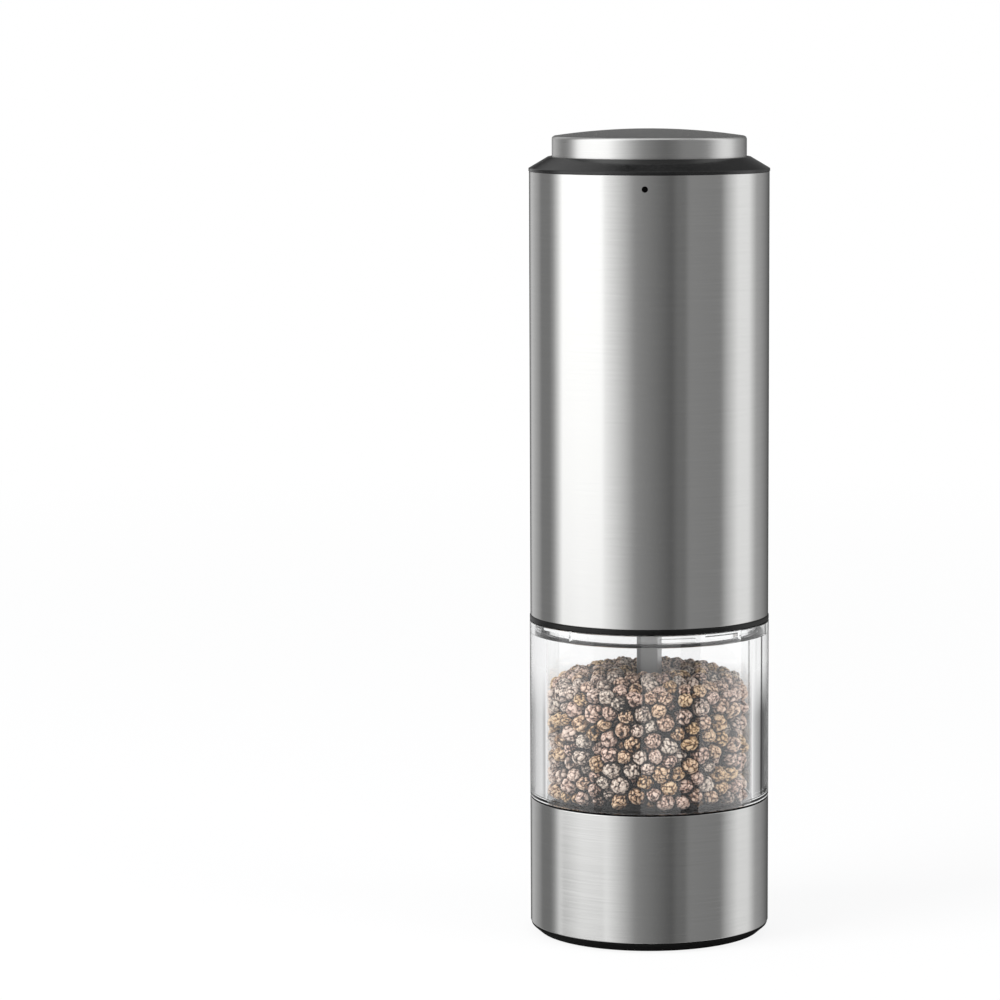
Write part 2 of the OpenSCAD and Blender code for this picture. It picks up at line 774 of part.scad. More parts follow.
module peppercorn_fill() {
    color("#8a6f60") difference() {
        union() {
            translate([0, 0, z_fill0]) cylinder(r = fill_r_out - lump_gap_h,
                h = z_fill1 - fill_edge_drop - z_fill0, $fn = core_sides);
            lumps();
        }
        translate([0, 0, z_jar0 - over]) cylinder(r = fill_r_in, h = fill_h + 2 * over);
        bridge_room(bridge_span / 2 + pass_gap, hub_rise + pass_gap);
        bridge_room(bridge_screw_at + bridge_foot_reach / 2 + pass_gap,
            bridge_foot_t + screw_head_h + pass_gap);
        translate([0, 0, z_jar0 - over])
            cylinder(r = bridge_hub_r + pass_gap, h = hub_rise + bush_flange_h + pass_gap + over);
        translate([0, 0, z_jar0 - over]) cylinder(r = throat_r + throat_c * 2, h = z_hub0 - z_jar0);
    }
}

// ---- Jar and bayonet ----

stop_arc = 2.2;
stop_gap_arc = 0.5;
lug_reach = 1.6;
lug_root = 0.3;        // how far a lug runs into the wall that carries it
lug_clear = 0.2;
gasket_inset = 0.15;
head_ring_t = 2;
z_mouth = z_jar1 - mouth_depth;
jar_lug_in_r = mouth_r - lug_reach;
lug_pitch = 360 / lug_count;
jar_lug_a = lug_phase - 90 - jar_lug_arc;
head_lug_a = jar_lug_a + jar_lug_arc - stop_gap_arc - head_lug_arc - lock_turn;

module base_gasket() {
    color("#1c1d1e") ring(body_r - gasket_inset, spigot_r + fit_gap, z_base1, z_jar0);
}

module pepper_jar() {
    color("#e6eef0", 0.35) union() {
        rotate_extrude() polygon([
            [jar_in_r, z_jar0 - jar_spigot_h], [spigot_r, z_jar0 - jar_spigot_h], [spigot_r, z_jar0],
            [body_r, z_jar0], [body_r, z_jar1], [mouth_r, z_jar1], [mouth_r, z_mouth],
            [jar_in_r, z_mouth]]);
        for (i = [0 : lug_count - 1]) {
            ring_block(jar_lug_in_r, mouth_r + lug_root, z_jar1 - lug_h, z_jar1,
                jar_lug_a + i * lug_pitch, jar_lug_arc);
            ring_block(jar_lug_in_r, mouth_r + lug_root, z_mouth + mouth_seal_h + fit_gap, z_jar1,
                jar_lug_a + jar_lug_arc + i * lug_pitch, stop_arc);
        }
    }
}

module mouth_seal() {
    color("#161718")
        ring(mouth_r - fit_gap, jar_lug_in_r + 2 * fit_gap, z_mouth, z_mouth + mouth_seal_h);
}

module rim_seal() {
    color("#161718")
        ring(body_r, jar_lug_in_r + 2 * fit_gap, z_jar1 + seat_gap, z_tube0 - seat_gap);
}

module bayonet_ring() {
    r_out = jar_lug_in_r - pass_gap;
    z_lug1 = z_jar1 - lug_h - lug_clear;
    color("#e6eef0", 0.35) {
        ring(r_out, r_out - head_ring_t, z_mouth + pass_gap, z_tube0);
        for (i = [0 : lug_count - 1])
            ring_block(r_out - lug_root, mouth_r - pass_gap, z_lug1 - lug_h, z_lug1,
                head_lug_a + i * lug_pitch, head_lug_arc);
    }
}

// ---- Head: floor and gearbox ----

module head_floor() {
    color("#1f2022") difference() {
        translate([0, 0, z_tube0]) cylinder(r = frame_r, h = floor_t);
        translate([0, 0, z_tube0 - over]) cylinder(r = floor_hole_r, h = floor_t + 2 * over);
        translate([0, 0, z_floor1 - wiper_h]) cylinder(r = wiper_r + fit_gap, h = wiper_h + over);
        for (a = floor_boss_a) rotate([0, 0, a]) {
            rod(floor_boss_at, 0, z_tube0 - over, z_floor1 + over, screw_hole_r);
            rod(floor_boss_at, 0, z_tube0 - over, z_tube0 + screw_head_h, screw_sink_r);
        }
    }
}

module floor_screws() {
    color("#a8a9ab") for (a = floor_boss_a) rotate([0, 0, a])
        screw(floor_boss_at, 0, z_tube0 + screw_head_h, floor_boss_h, 1);
}

module shaft_wiper() {
    z0 = z_floor1 - wiper_h;
    color("#1a1b1c") rotate_extrude() polygon([
        [shaft_corner_r + run_gap, z0], [wiper_r, z0], [wiper_r, z_floor1 - fit_gap],
        [wiper_r - wiper_rim_w, z_floor1 - fit_gap], [wiper_r - wiper_rim_w, z0 + wiper_lip_t],
        [shaft_corner_r + run_gap, z0 + wiper_lip_t]]);
}

module ear_ring(r, z0, z1) {
    translate([0, 0, z0]) cylinder(r = r, h = z1 - z0);
    around(ear_count, ear_a) rod(ear_at, 0, z0, z1, ear_r);
}

module ear_holes(z0, z1) {
    around(ear_count, ear_a) rod(ear_at, 0, z0, z1, screw_hole_r);
}

module gearbox_cover() {
    color("#4a4c50") difference() {
        union() {
            ear_ring(ring_r, z_floor1, z_floor1 + cover_t);
            translate([0, 0, z_floor1]) cylinder(r = cover_hub_r, h = z_cover_hub1 - z_floor1);
        }
        translate([0, 0, z_floor1 - over])
            cylinder(r = output_bush_r + fit_gap, h = z_cover_hub1 - z_floor1 + 2 * over);
        ear_holes(z_floor1 - over, z_floor1 + cover_t + over);
    }
}

module output_bush() {
    color("#b58b4c") ring(output_bush_r, socket_r + run_gap, z_sock0, z_cover_hub1);
}

// The two ribs stand before the shaft's flats by half the locking turn, so that the head
// can be turned to lock and open without turning the shaft.
module output_carrier() {
    color("#8d9094") difference() {
        union() {
            difference() {
                union() {
                    translate([0, 0, z_sock0]) cylinder(r = socket_r, h = z_out1 - z_sock0);
                    translate([0, 0, z_out0]) cylinder(r = carrier_r, h = carrier_t);
                }
                translate([0, 0, z_sock0 - over])
                    cylinder(r = socket_bore_r, h = z_sock1 - z_sock0 + over);
            }
            rotate([0, 0, shaft_turn - lock_turn / 2]) around(2)
                translate([drive_rib_r, -drive_rib_w / 2, z_sock0 + drive_rib_lead])
                    cube([socket_bore_r - drive_rib_r + socket_t / 4, drive_rib_w,
                        z_sock1 - z_sock0 - drive_rib_lead]);
        }
        around(planet_count) rod(planet_orbit, 0, z_out0 - over, z_out1 + over, planet_pin_r);
    }
}

module output_pins() {
    color("#c4c6c8") planet_pins(z_out0, z_pb1 + pin_stand);
}

module planet_b(index) {
    color("#e0dccb") planet(index, z_pb0, z_pb1);
}

module ring_gear() {
    color("#5a5d62") difference() {
        ear_ring(ring_r, z_floor1 + cover_t, z_plate0);
        translate([0, 0, z_floor1]) linear_extrude(z_plate0 - z_floor1 + over)
            polygon(gear_outline(ring_z, gear_m * (ring_z / 2 - tooth_add),
                gear_m * (ring_z / 2 + tooth_ded), -flank_thin));
        ear_holes(z_floor1, z_plate0 + over);
    }
}

module stage_carrier() {
    color("#8d9094") difference() {
        union() {
            translate([0, 0, z_st0]) cylinder(r = carrier_r, h = stage_t);
            gear(sun_z, z_pb0 + pin_stand, z_st0 + stage_t / 4);
        }
        around(planet_count) rod(planet_orbit, 0, z_st0 - over, z_st1 + over, planet_pin_r);
    }
}

module stage_pins() {
    color("#c4c6c8") planet_pins(z_st0, z_pa1 + pin_stand);
}

module planet_a(index) {
    color("#e0dccb") planet(index, z_pa0, z_pa1);
}

module motor_plate() {
    color("#8f9296") difference() {
        translate([0, 0, z_plate0]) cylinder(r = frame_in_r - 2 * fit_gap, h = plate_t);
        translate([0, 0, z_plate0 - over])
            cylinder(r = motor_boss_r + fit_gap, h = plate_t + 2 * over);
        ear_holes(z_plate0 - over, z_plate1 + over);
    }
}

module gearbox_screws() {
    color("#a8a9ab") around(ear_count, ear_a)
        screw(ear_at, 0, z_plate1 + part_gap, z_plate1 - z_floor1 - cover_t / 2, -1);
}

// ---- Motor ----

module motor_can() {
    color("#9fa2a5") difference() {
        union() {
            translate([0, 0, z_plate1]) cylinder(r = motor_d / 2, h = motor_h);
            translate([0, 0, z_plate1 - motor_boss_h])
                cylinder(r = motor_boss_r, h = motor_boss_h + motor_can_t);
        }
        translate([0, 0, z_plate1 + motor_can_t]) cylinder(r = motor_d / 2 - motor_can_t, h = motor_h);
        translate([0, 0, z_plate0 - over])
            cylinder(r = motor_axle_r + run_gap, h = plate_t + motor_can_t + 2 * over);
    }
}

module motor_end_cap() {
    color("#f0f0ee") difference() {
        union() {
            translate([0, 0, z_motor1]) cylinder(r = motor_d / 2, h = motor_cap_h);
            translate([0, 0, z_motor1 - motor_cap_plug])
                cylinder(r = motor_d / 2 - motor_can_t - fit_gap, h = motor_cap_plug + motor_cap_h / 2);
        }
        translate([0, 0, z_motor1 - 2 * motor_cap_plug])
            cylinder(r = motor_axle_r + run_gap, h = motor_cap_h + motor_cap_plug);
    }
}

module motor_magnets() {
    r1 = motor_d / 2 - motor_can_t - fit_gap;
    color("#55575b") for (a = [0, 180])
        ring_block(r1 - magnet_t, r1, z_plate1 + magnet_end, z_motor1 - magnet_end - motor_cap_plug,
            a - magnet_arc / 2, magnet_arc);
}

module motor_armature() {
    z0 = z_plate1 + armature_end;
    z1 = z_motor1 - armature_drop;
    z_axle = z_pa0 + 2 * run_gap;
    color("#b87333") union() {
        translate([0, 0, z_axle]) cylinder(r = motor_axle_r, h = z_motor1 + axle_reach - z_axle);
        gear(sun_z, z_pa0 + run_gap, z_pa1 + pin_stand);
        around(armature_teeth)
            ring_block(motor_axle_r * 0.8, armature_r, z0, z1, -armature_tooth_arc / 2, armature_tooth_arc);
        translate([0, 0, z0 + winding_r / 3]) cylinder(r = winding_r, h = z1 - z0 - winding_r * 2 / 3);
        translate([0, 0, z_motor1 - commutator_drop]) cylinder(r = commutator_r, h = commutator_h);
    }
}

// ---- Inner frame ----

module frame_shell() {
    ring(frame_r, frame_in_r, z_floor1 + fit_gap, z_frame1);
    r_root = frame_in_r + rib_root;
    ring(r_root, frame_in_r - shelf_w, z_plate0 - fit_gap - rib_t, z_plate0 - fit_gap);
    for (z = [z_plate1 + rib_rise, z_mcap1 + pass_gap, z_lid0]) ring(r_root, rib_hole_r, z, z + rib_t);
    for (z = frame_boss_z) for (s = [-1, 1])
        translate([-frame_boss_reach, s * frame_boss_y, z]) rotate([0, 90, 0])
            cylinder(r = frame_boss_r, h = 2 * frame_boss_reach, $fn = 32);
    for (a = floor_boss_a) rotate([0, 0, a])
        rod(floor_boss_at, 0, z_floor1 + pass_gap, z_floor1 + floor_boss_h, floor_boss_r);
    for (x = [-1, 1]) for (y = [-1, 1])
        rod(x * board_boss_x, y * board_boss_y, z_lid0 + rib_t / 3, z_board0 - fit_gap, board_boss_r);
}

module frame_cuts() {
    translate([0, 0, z_plate0]) cylinder(r = motor_d / 2 + motor_room, h = z_mcap1 + cell_room - z_plate0);
    for (s = [-1, 1]) {
        translate([s * cell_x, 0, z_cell0])
            cylinder(r = cell_d / 2 + cell_room, h = z_lid0 - cell_room - z_cell0);
        rod(s * cell_wire_x, 0, z_cell1, z_lid0 + rib_t + over, 2 * wire_r);
    }
    for (a = floor_boss_a) rotate([0, 0, a])
        rod(floor_boss_at, 0, z_floor1 - over, z_floor1 + floor_boss_h - over, screw_pilot_r);
    for (x = [-1, 1]) for (y = [-1, 1])
        rod(x * board_boss_x, y * board_boss_y, z_board0 - board_screw_l - over, z_board1, screw_pilot_r);
    for (z = frame_boss_z) for (s = [-1, 1])
        translate([-frame_boss_reach - over, s * frame_boss_y, z]) rotate([0, 90, 0]) {
            cylinder(r = screw_pilot_r, h = 2 * frame_boss_reach, $fn = 32);
            cylinder(r = screw_sink_r, h = screw_head_h + over + 2 * fit_gap, $fn = 32);
        }
    translate([0, 0, z_light]) rotate([90, 0, 0]) cylinder(r = light_d / 2, h = body_r, $fn = 32);
    socket_shape(usb_h / 2 + usb_room, usb_y0, usb_y0 + usb_reach);
}

module frame_half(side) {
    color("#2e3033") difference() {
        frame_shell();
        frame_cuts();
        translate([side > 0 ? fit_gap / 2 - 2 * body_r : -fit_gap / 2, -body_r, 0])
            cube([2 * body_r, 2 * body_r, z_rim]);
    }
}

module frame_screws() {
    color("#a8a9ab") for (z = frame_boss_z) for (s = [-1, 1])
        translate([0, s * frame_boss_y, z]) rotate([0, 90, 0])
            screw(0, 0, screw_head_h - frame_boss_reach, 2 * frame_boss_reach - frame_screw_short, 1);
}

module cell(side) {
    x = side * cell_x;
    color("#3f6f9e") {
        rod(x, 0, z_cell0, z_cell1 - cell_cap_h, cell_d / 2);
        rod(x, 0, z_cell1 - 2 * cell_cap_h, z_cell1, cell_cap_r);
    }
}

module wiring() {
    color("#b03030") for (s = [-1, 1]) {
        rod(s * cell_x, 0, z_cell1, z_cell1 + tab_t, tab_r);
        rod(s * cell_wire_x, 0, z_cell1 + tab_t / 2, z_board0, wire_r);
        rod(s * motor_wire_x, 0, z_mcap1, z_board0, wire_r);
    }
}

// ---- Electronics ----

// The charging socket's outline between two depths: a flat oval of radius r.
module socket_shape(r, y0, y1) {
    half = usb_w / 2 - usb_h / 2;
    translate([0, y0, z_light]) rotate([-90, 0, 0]) {
        for (s = [-1, 1]) translate([s * half, 0, 0]) cylinder(r = r, h = y1 - y0, $fn = 32);
        translate([-half, -r, 0]) cube([2 * half, 2 * r, y1 - y0]);
    }
}

module circuit_board() {
    color("#1f5a3a") {
        difference() {
            translate([0, 0, z_board0]) cylinder(r = board_r, h = board_t);
            for (x = [-1, 1]) for (y = [-1, 1])
                rod(x * board_boss_x, y * board_boss_y, z_board0 - over, z_board1 + over, screw_hole_r);
        }
        for (a = chip_a) rotate([0, 0, a])
            translate([chip_at - chip_w / 2, -chip_w / 2, z_board0 - chip_h])
                cube([chip_w, chip_w, chip_h + board_t / 2]);
    }
}

module board_screws() {
    color("#a8a9ab") for (x = [-1, 1]) for (y = [-1, 1])
        screw(x * board_boss_x, y * board_boss_y, z_board1 + part_gap, board_screw_l, -1);
}

module charging_socket() {
    y1 = sqrt(head_r * head_r - usb_w * usb_w / 4) - usb_sink;
    y0 = y1 - usb_l;
    color("#b9bbbd") {
        difference() {
            socket_shape(usb_h / 2, y0, y1);
            socket_shape(usb_h / 2 - usb_shell_t, y0 + over, y1 + over);
        }
        translate([-usb_tongue_w / 2, y0 + over / 2, z_light - usb_tongue_t / 2])
            cube([usb_tongue_w, usb_l - 3 * over / 2, usb_tongue_t]);
    }
}

led_t = 1.2;
led_w = 3.2;
light_sink = 0.2;      // how far the light's face lies behind the tube's

module charge_light() {
    lens_y = board_r - 2 * led_t;
    color("#101112") translate([0, 0, z_light]) rotate([90, 0, 0]) {
        translate([0, 0, lens_y])
            cylinder(r = light_d / 2 - fit_gap, h = head_r - light_sink - lens_y, $fn = 32);
        translate([-led_w / 2, z_board1 - z_light, lens_y - led_t])
            cube([led_w, z_light - z_board1 + light_d / 2, led_t]);
    }
}

module push_switch() {
    color("#202124") difference() {
        translate([-switch_w / 2, -switch_w / 2, z_board1]) cube([switch_w, switch_w, switch_h]);
        translate([0, 0, z_board1 + switch_floor_t])
            cylinder(r = plunger_r + run_gap, h = switch_h, $fn = 32);
    }
}

module switch_plunger() {
    color("#e8e4da") rod(0, 0, z_plunger1 - plunger_h, z_plunger1, plunger_r);
}

// ---- Button and collar ----

// Points of the button's outside, from its skirt's foot over the rim to the middle, set
// in by t. The dome is an arc through the rim and the crown.
dome_steps = 10;
edge_steps = 5;
function dome_r(a) = (a * a + button_crown * button_crown) / (2 * button_crown);
function dome_z(r, a) = z_rim + sqrt(dome_r(a) * dome_r(a) - r * r) - dome_r(a) + button_crown;
function button_top(t) =
    let (a = button_d / 2 - button_edge_r,
         e = button_edge_r)
    concat(
        [for (k = [0 : edge_steps])
            let (b = 90 * k / edge_steps)
            [a + (e - t) * cos(b), z_rim - e + (e - t) * sin(b)]],
        [for (k = [1 : dome_steps])
            let (r = a * (1 - k / dome_steps))
            [r, dome_z(r, a) - t]]);

module button_cap() {
    r = button_d / 2;
    color("#a9abad") rotate_extrude() polygon(concat(
        [[r - button_t, z_skirt0], [r, z_skirt0]],
        button_top(0),
        [for (k = [edge_steps + dome_steps : -1 : 0]) button_top(button_t)[k]]));
}

module button_core() {
    r = button_d / 2 - button_t - fit_gap;
    z_barb = z_web0 - barb_gap - hook_barb_h;
    z_root = z_disc0 + core_drop / 6;
    color("#26272a") {
        rotate_extrude() polygon(concat(
            [[0, z_disc0], [r - button_ring_t, z_disc0], [r - button_ring_t, z_skirt0 + core_inset],
             [r, z_skirt0 + core_inset]],
            button_top(button_t + fit_gap)));
        translate([0, 0, z_plunger1 + fit_gap]) cylinder(r = stem_r, h = z_root - z_plunger1);
        around(hook_count, hook_a) {
            translate([hook_at - hook_t / 2, -hook_w / 2, z_barb])
                cube([hook_t, hook_w, z_root - z_barb]);
            translate([hook_at, -hook_w / 2, z_barb])
                cube([hook_t / 2 + hook_barb, hook_w, hook_barb_h]);
        }
    }
}

module button_spring() {
    color("#c4c6c8") coil(button_spring_r, spring_wire_r, 4, z_web1, z_disc0);
}

module collar() {
    bore_r = stem_r + run_gap;
    color("#1b1c1d") difference() {
        rotate_extrude() polygon([
            [bore_r, z_web0], [frame_r, z_web0], [frame_r, z_tube1], [body_r - part_gap, z_tube1],
            [body_r - part_gap, z_tube1 + collar_edge_h], [collar_top_d / 2, z_collar1],
            [well_r, z_collar1], [well_r, z_web1], [guide_r, z_web1], [guide_r, z_guide1],
            [bore_r, z_guide1]]);
        around(hook_count, hook_a) translate([hook_at - hook_t / 2 - hook_room,
            -hook_w / 2 - hook_room, z_web0 - over])
                cube([hook_t + 2 * hook_room, hook_w + 2 * hook_room, web_t + 2 * over]);
    }
}

module steel_tube() {
    color("#b9bbbd") difference() {
        sleeve(head_r, z_tube0, z_tube1);
        translate([0, 0, z_light]) rotate([90, 0, 0])
            cylinder(r = light_d / 2, h = body_r + over, $fn = 32);
        socket_shape(usb_h / 2 + usb_room, usb_y0, usb_y0 + usb_reach);
    }
}

base_cap();
base_sleeve();
base_body();
burr_retainer();
retainer_screws();
adjuster_knob();
thrust_pad();
outer_burr();
inner_burr();
burr_core();
burr_spring();
bridge();
bridge_screws();
shaft_bush();
drive_shaft();
peppercorn_fill();
base_gasket();
pepper_jar();
mouth_seal();
rim_seal();
bayonet_ring();
head_floor();
floor_screws();
shaft_wiper();
gearbox_cover();
output_bush();
output_carrier();
output_pins();
planet_b(0);  // planet_b1
planet_b(1);  // planet_b2
planet_b(2);  // planet_b3
ring_gear();
stage_carrier();
stage_pins();
planet_a(0);  // planet_a1
planet_a(1);  // planet_a2
planet_a(2);  // planet_a3
motor_plate();
gearbox_screws();
motor_can();
motor_end_cap();
motor_magnets();
motor_armature();
frame_half(-1);  // frame_left
frame_half(1);  // frame_right
frame_screws();
cell(-1);  // cell_left
cell(1);  // cell_right
wiring();
circuit_board();
board_screws();
charging_socket();
charge_light();
push_switch();
switch_plunger();
button_spring();
button_core();
button_cap();
collar();
steel_tube();
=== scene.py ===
"""Looks of the rechargeable pepper mill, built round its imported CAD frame.

The mill is written in millimetres and turned into metres with MM. The stage is written in metres.
Angles are in degrees, and directions on the stage count from the camera's side, left negative."""
import bmesh
import bpy
import json
import math
import numpy as np
from mathutils import Matrix, Vector


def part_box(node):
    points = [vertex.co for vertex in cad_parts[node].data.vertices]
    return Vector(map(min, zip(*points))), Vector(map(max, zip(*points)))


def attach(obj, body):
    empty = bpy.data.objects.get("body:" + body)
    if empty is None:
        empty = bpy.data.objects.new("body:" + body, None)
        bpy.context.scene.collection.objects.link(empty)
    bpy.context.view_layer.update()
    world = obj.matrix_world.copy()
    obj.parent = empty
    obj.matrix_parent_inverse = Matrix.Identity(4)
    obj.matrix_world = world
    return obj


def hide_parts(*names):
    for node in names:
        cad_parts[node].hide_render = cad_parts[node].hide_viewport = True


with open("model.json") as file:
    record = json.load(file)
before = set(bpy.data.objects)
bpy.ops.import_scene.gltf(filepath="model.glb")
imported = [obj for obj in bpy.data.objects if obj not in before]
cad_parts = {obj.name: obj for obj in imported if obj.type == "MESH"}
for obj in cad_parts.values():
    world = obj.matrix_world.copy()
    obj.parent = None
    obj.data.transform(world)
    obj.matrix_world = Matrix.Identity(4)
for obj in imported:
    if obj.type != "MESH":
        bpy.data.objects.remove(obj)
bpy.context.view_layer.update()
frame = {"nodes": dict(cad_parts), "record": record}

MM = 0.001
SEGMENTS = 192                  # steps round a turned piece
BAND = 0.04                     # flat strip beside each rounded edge
ROUND_SHARE, BAND_SHARE = 0.42, 0.2     # most of a side that one corner's round or strip takes
ON_AXIS = 1e-6                  # a radius below this is on the axis
TURNED_LEAN = 0.03              # a face that leans more than this across the turning isn't turned
SHARP = math.radians(38)        # a wider angle between faces stays a hard edge
SHAFT_SHARP = math.radians(20)
SEAT = 0.05                     # gap between pieces that sit on each other
AIR_FILM = 0.03                 # air left between clear plastic and a seal
FREE = 0.001                    # keeps the faces of a boolean out of one plane


# ---- Sizes read from the frame ----

def span(node):
    """Lowest and highest z of a CAD node, in millimetres."""
    lo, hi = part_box(node)
    return lo.z / MM, hi.z / MM


def reach(node):
    """Outer radius of a CAD node, in millimetres."""
    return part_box(node)[1].x / MM


BODY_R = reach("base_sleeve")
HEAD_R = reach("steel_tube")
COLLAR_R = reach("collar")
Z_FOOT1, Z_BASE1 = span("base_sleeve")
Z_GASKET1 = span("base_gasket")[1]
Z_JAR0, Z_JAR1 = span("pepper_jar")
Z_TUBE0, Z_TUBE1 = span("steel_tube")
Z_COLLAR0 = span("collar")[0]
Z_SHAFT0, Z_SHAFT1 = span("drive_shaft")
Z_SKIRT0, Z_BUTTON1 = span("button_cap")


# ---- Nodes and materials ----

class Graph:
    """The node tree of a material or of the world, built by short calls."""

    def __init__(self, owner, output="OutputMaterial"):
        owner.use_nodes = True
        self.owner = owner
        self.tree = owner.node_tree
        self.tree.nodes.clear()
        self.output = self.tree.nodes.new("ShaderNode" + output)

    def node(self, kind, links=None, values=None, **settings):
        n = self.tree.nodes.new("ShaderNode" + kind)
        for key, value in settings.items():
            setattr(n, key, value)
        for key, value in (values or {}).items():
            n.inputs[key].default_value = value
        for key, socket in (links or {}).items():
            self.tree.links.new(socket, n.inputs[key])
        return n

    def place(self):
        return self.node("TexCoord").outputs["Object"]

    def attribute(self, name):
        return self.node("Attribute", attribute_name=name).outputs["Fac"]

    def ramp(self, factor, stops):
        n = self.node("ValToRGB", {"Fac": factor})
        elements = n.color_ramp.elements
        while len(elements) < len(stops):
            elements.new(0.5)
        for e, (at, colour) in zip(elements, stops):
            e.position = at
            e.color = (*colour, 1)
        return n.outputs["Color"]

    def noise(self, scale, stretch=(1, 1, 1), detail=3, rough=0.55):
        mapped = self.node("Mapping", {"Vector": self.place()}, {"Scale": stretch}).outputs[0]
        return self.node("TexNoise", {"Vector": mapped},
                         {"Scale": scale, "Detail": detail, "Roughness": rough}).outputs["Fac"]

    def remap(self, value, low, high, from_low=0.3, from_high=0.7):
        """A value stretched to low and high. It starts from the range that most noise keeps to."""
        return self.node("MapRange", {"Value": value}, {
            "From Min": from_low, "From Max": from_high, "To Min": low, "To Max": high}).outputs[0]

    def calc(self, operation, a, b):
        return self.node("Math", {0: a, 1: b}, operation=operation).outputs[0]

    def mix(self, factor, a, b):
        return self.node("MixRGB", {"Fac": factor, "Color1": a, "Color2": b}).outputs[0]

    def bump(self, height, distance):
        return self.node("Bump", {"Height": height},
                         {"Distance": distance, "Strength": 1.0}).outputs[0]

    def show(self, shader):
        """Puts a shader on the surface, and gives back what it dresses."""
        self.tree.links.new(shader.outputs[0], self.output.inputs["Surface"])
        return self.owner

    def principled(self, links, values):
        return self.show(self.node("BsdfPrincipled", links, values))


def material_graph(name):
    return Graph(bpy.data.materials.new(name))


def grey(level):
    return (level, level, level)


GRAIN_SPREAD, SCRATCH_SPREAD = 0.06, 0.03       # how far roughness varies to either side
SCRATCH_TONE = 0.92                             # a scratch's share of the steel's brightness


def grained(name, dark, light, rough, metallic=0.0, scale=1400.0, stretch=(1, 1, 1),
            depth=0.00001, specular=0.5):
    """A plain material whose colour, gloss and surface vary with a fine grain."""
    g = material_graph(name)
    fine = g.noise(scale, stretch, 4)
    broad = g.noise(60, (1, 1, 1), 2)
    colour = g.node("MixRGB", {"Fac": broad, "Color1": g.ramp(fine, [(0.3, dark), (0.7, light)])},
                    {"Color2": (*light, 1)}).outputs[0]
    return g.principled({"Base Color": colour,
                         "Roughness": g.remap(fine, rough - GRAIN_SPREAD, rough + GRAIN_SPREAD),
                         "Normal": g.bump(fine, depth)},
                        {"Metallic": metallic, "Specular IOR Level": specular})


def brushed(name, tone, rough, grains, depth, radial=True, anisotropy=0.88):
    """Brushed steel. grains counts the grains in a metre along each axis, so the scratches run
    where it is low."""
    g = material_graph(name)
    scratch = g.noise(1, grains, 3, 0.65)
    links = {
        "Base Color": g.ramp(scratch, [(0.25, tuple(t * SCRATCH_TONE for t in tone)),
                                       (0.7, tone)]),
        "Roughness": g.remap(scratch, rough - SCRATCH_SPREAD, rough + SCRATCH_SPREAD),
        "Normal": g.bump(scratch, depth)}
    values = {"Metallic": 1.0}
    if radial:
        links["Tangent"] = g.node("Tangent", direction_type="RADIAL", axis="Z").outputs[0]
        values["Anisotropic"] = anisotropy
        values["Anisotropic Rotation"] = 0.25
    return g.principled(links, values)


def clear(name, tint, ior):
    """Clear moulded plastic with a very faint ripple."""
    g = material_graph(name)
    ripple = g.noise(45, (1, 1, 0.4), 1)
    return g.principled({"Roughness": g.remap(ripple, 0.0, 0.015),
                         "Base Color": g.ramp(ripple, [(0.3, tint), (0.7, grey(1))]),
                         "Normal": g.bump(ripple, 0.00001)},
                        {"Transmission Weight": 1.0, "IOR": ior})


# Peppercorn colours from the near-black of painted shade to the light ridges: golden, pink and grey
# corns.
CORN_STOPS = (0.04, 0.22, 0.48, 0.95)
CORN_TONES = (
    ((0.004, 0.003, 0.004), (0.055, 0.027, 0.012), (0.38, 0.21, 0.09), (0.86, 0.64, 0.40)),
    ((0.004, 0.003, 0.006), (0.065, 0.036, 0.028), (0.42, 0.26, 0.20), (0.88, 0.68, 0.58)),
    ((0.004, 0.004, 0.007), (0.055, 0.044, 0.037), (0.37, 0.30, 0.25), (0.86, 0.76, 0.66)))
STROKE_BEND = (0.0022, 0.0022, 0.0022)      # metres that the strokes wander


def peppercorn_skin():
    """Wrinkled skin: near-black furrows, partly painted shade, cream to golden ridges, fine strokes
    across the plates, and a tone of its own for each corn. The vertex lightness it reads also holds
    painted shade between corns and deep in the heap."""
    g = material_graph("peppercorn_skin")
    skin_light_and_shade, tint = g.attribute("skin_light_and_shade"), g.attribute("tint")
    speck = g.noise(1500)
    place = g.place()
    wander = g.node("TexNoise", {"Vector": place}, {"Scale": 600.0, "Detail": 2.0})
    bent = g.node("VectorMath", {0: wander.outputs["Color"], 2: place}, {1: STROKE_BEND},
                  operation="MULTIPLY_ADD").outputs[0]
    border = g.node("TexVoronoi", {"Vector": bent}, {"Scale": 620.0},
                    feature="DISTANCE_TO_EDGE").outputs["Distance"]
    stroke = g.remap(border, -0.30, 0.10, 0.0, 0.14)
    tone = g.calc("ADD", stroke, g.remap(speck, -0.20, 0.20))
    # the vertex lightness carries painted shade
    lightness = g.calc("MULTIPLY", skin_light_and_shade, g.remap(tone, 0.12, 1.75, -0.5, 0.34))
    golden, pink, grey_corn = (g.ramp(lightness, tuple(zip(CORN_STOPS, tones)))
                               for tones in CORN_TONES)
    pale = g.mix(g.remap(tint, 0.0, 1.0, 0.55, 1.0), pink, grey_corn)
    colour = g.mix(g.remap(tint, 0.0, 1.0, 0.1, 0.5), golden, pale)
    return g.principled({"Base Color": colour, "Roughness": g.remap(speck, 0.55, 0.75),
                         "Normal": g.bump(g.calc("ADD", stroke, speck), 0.00016)},
                        {"Specular IOR Level": 0.1})


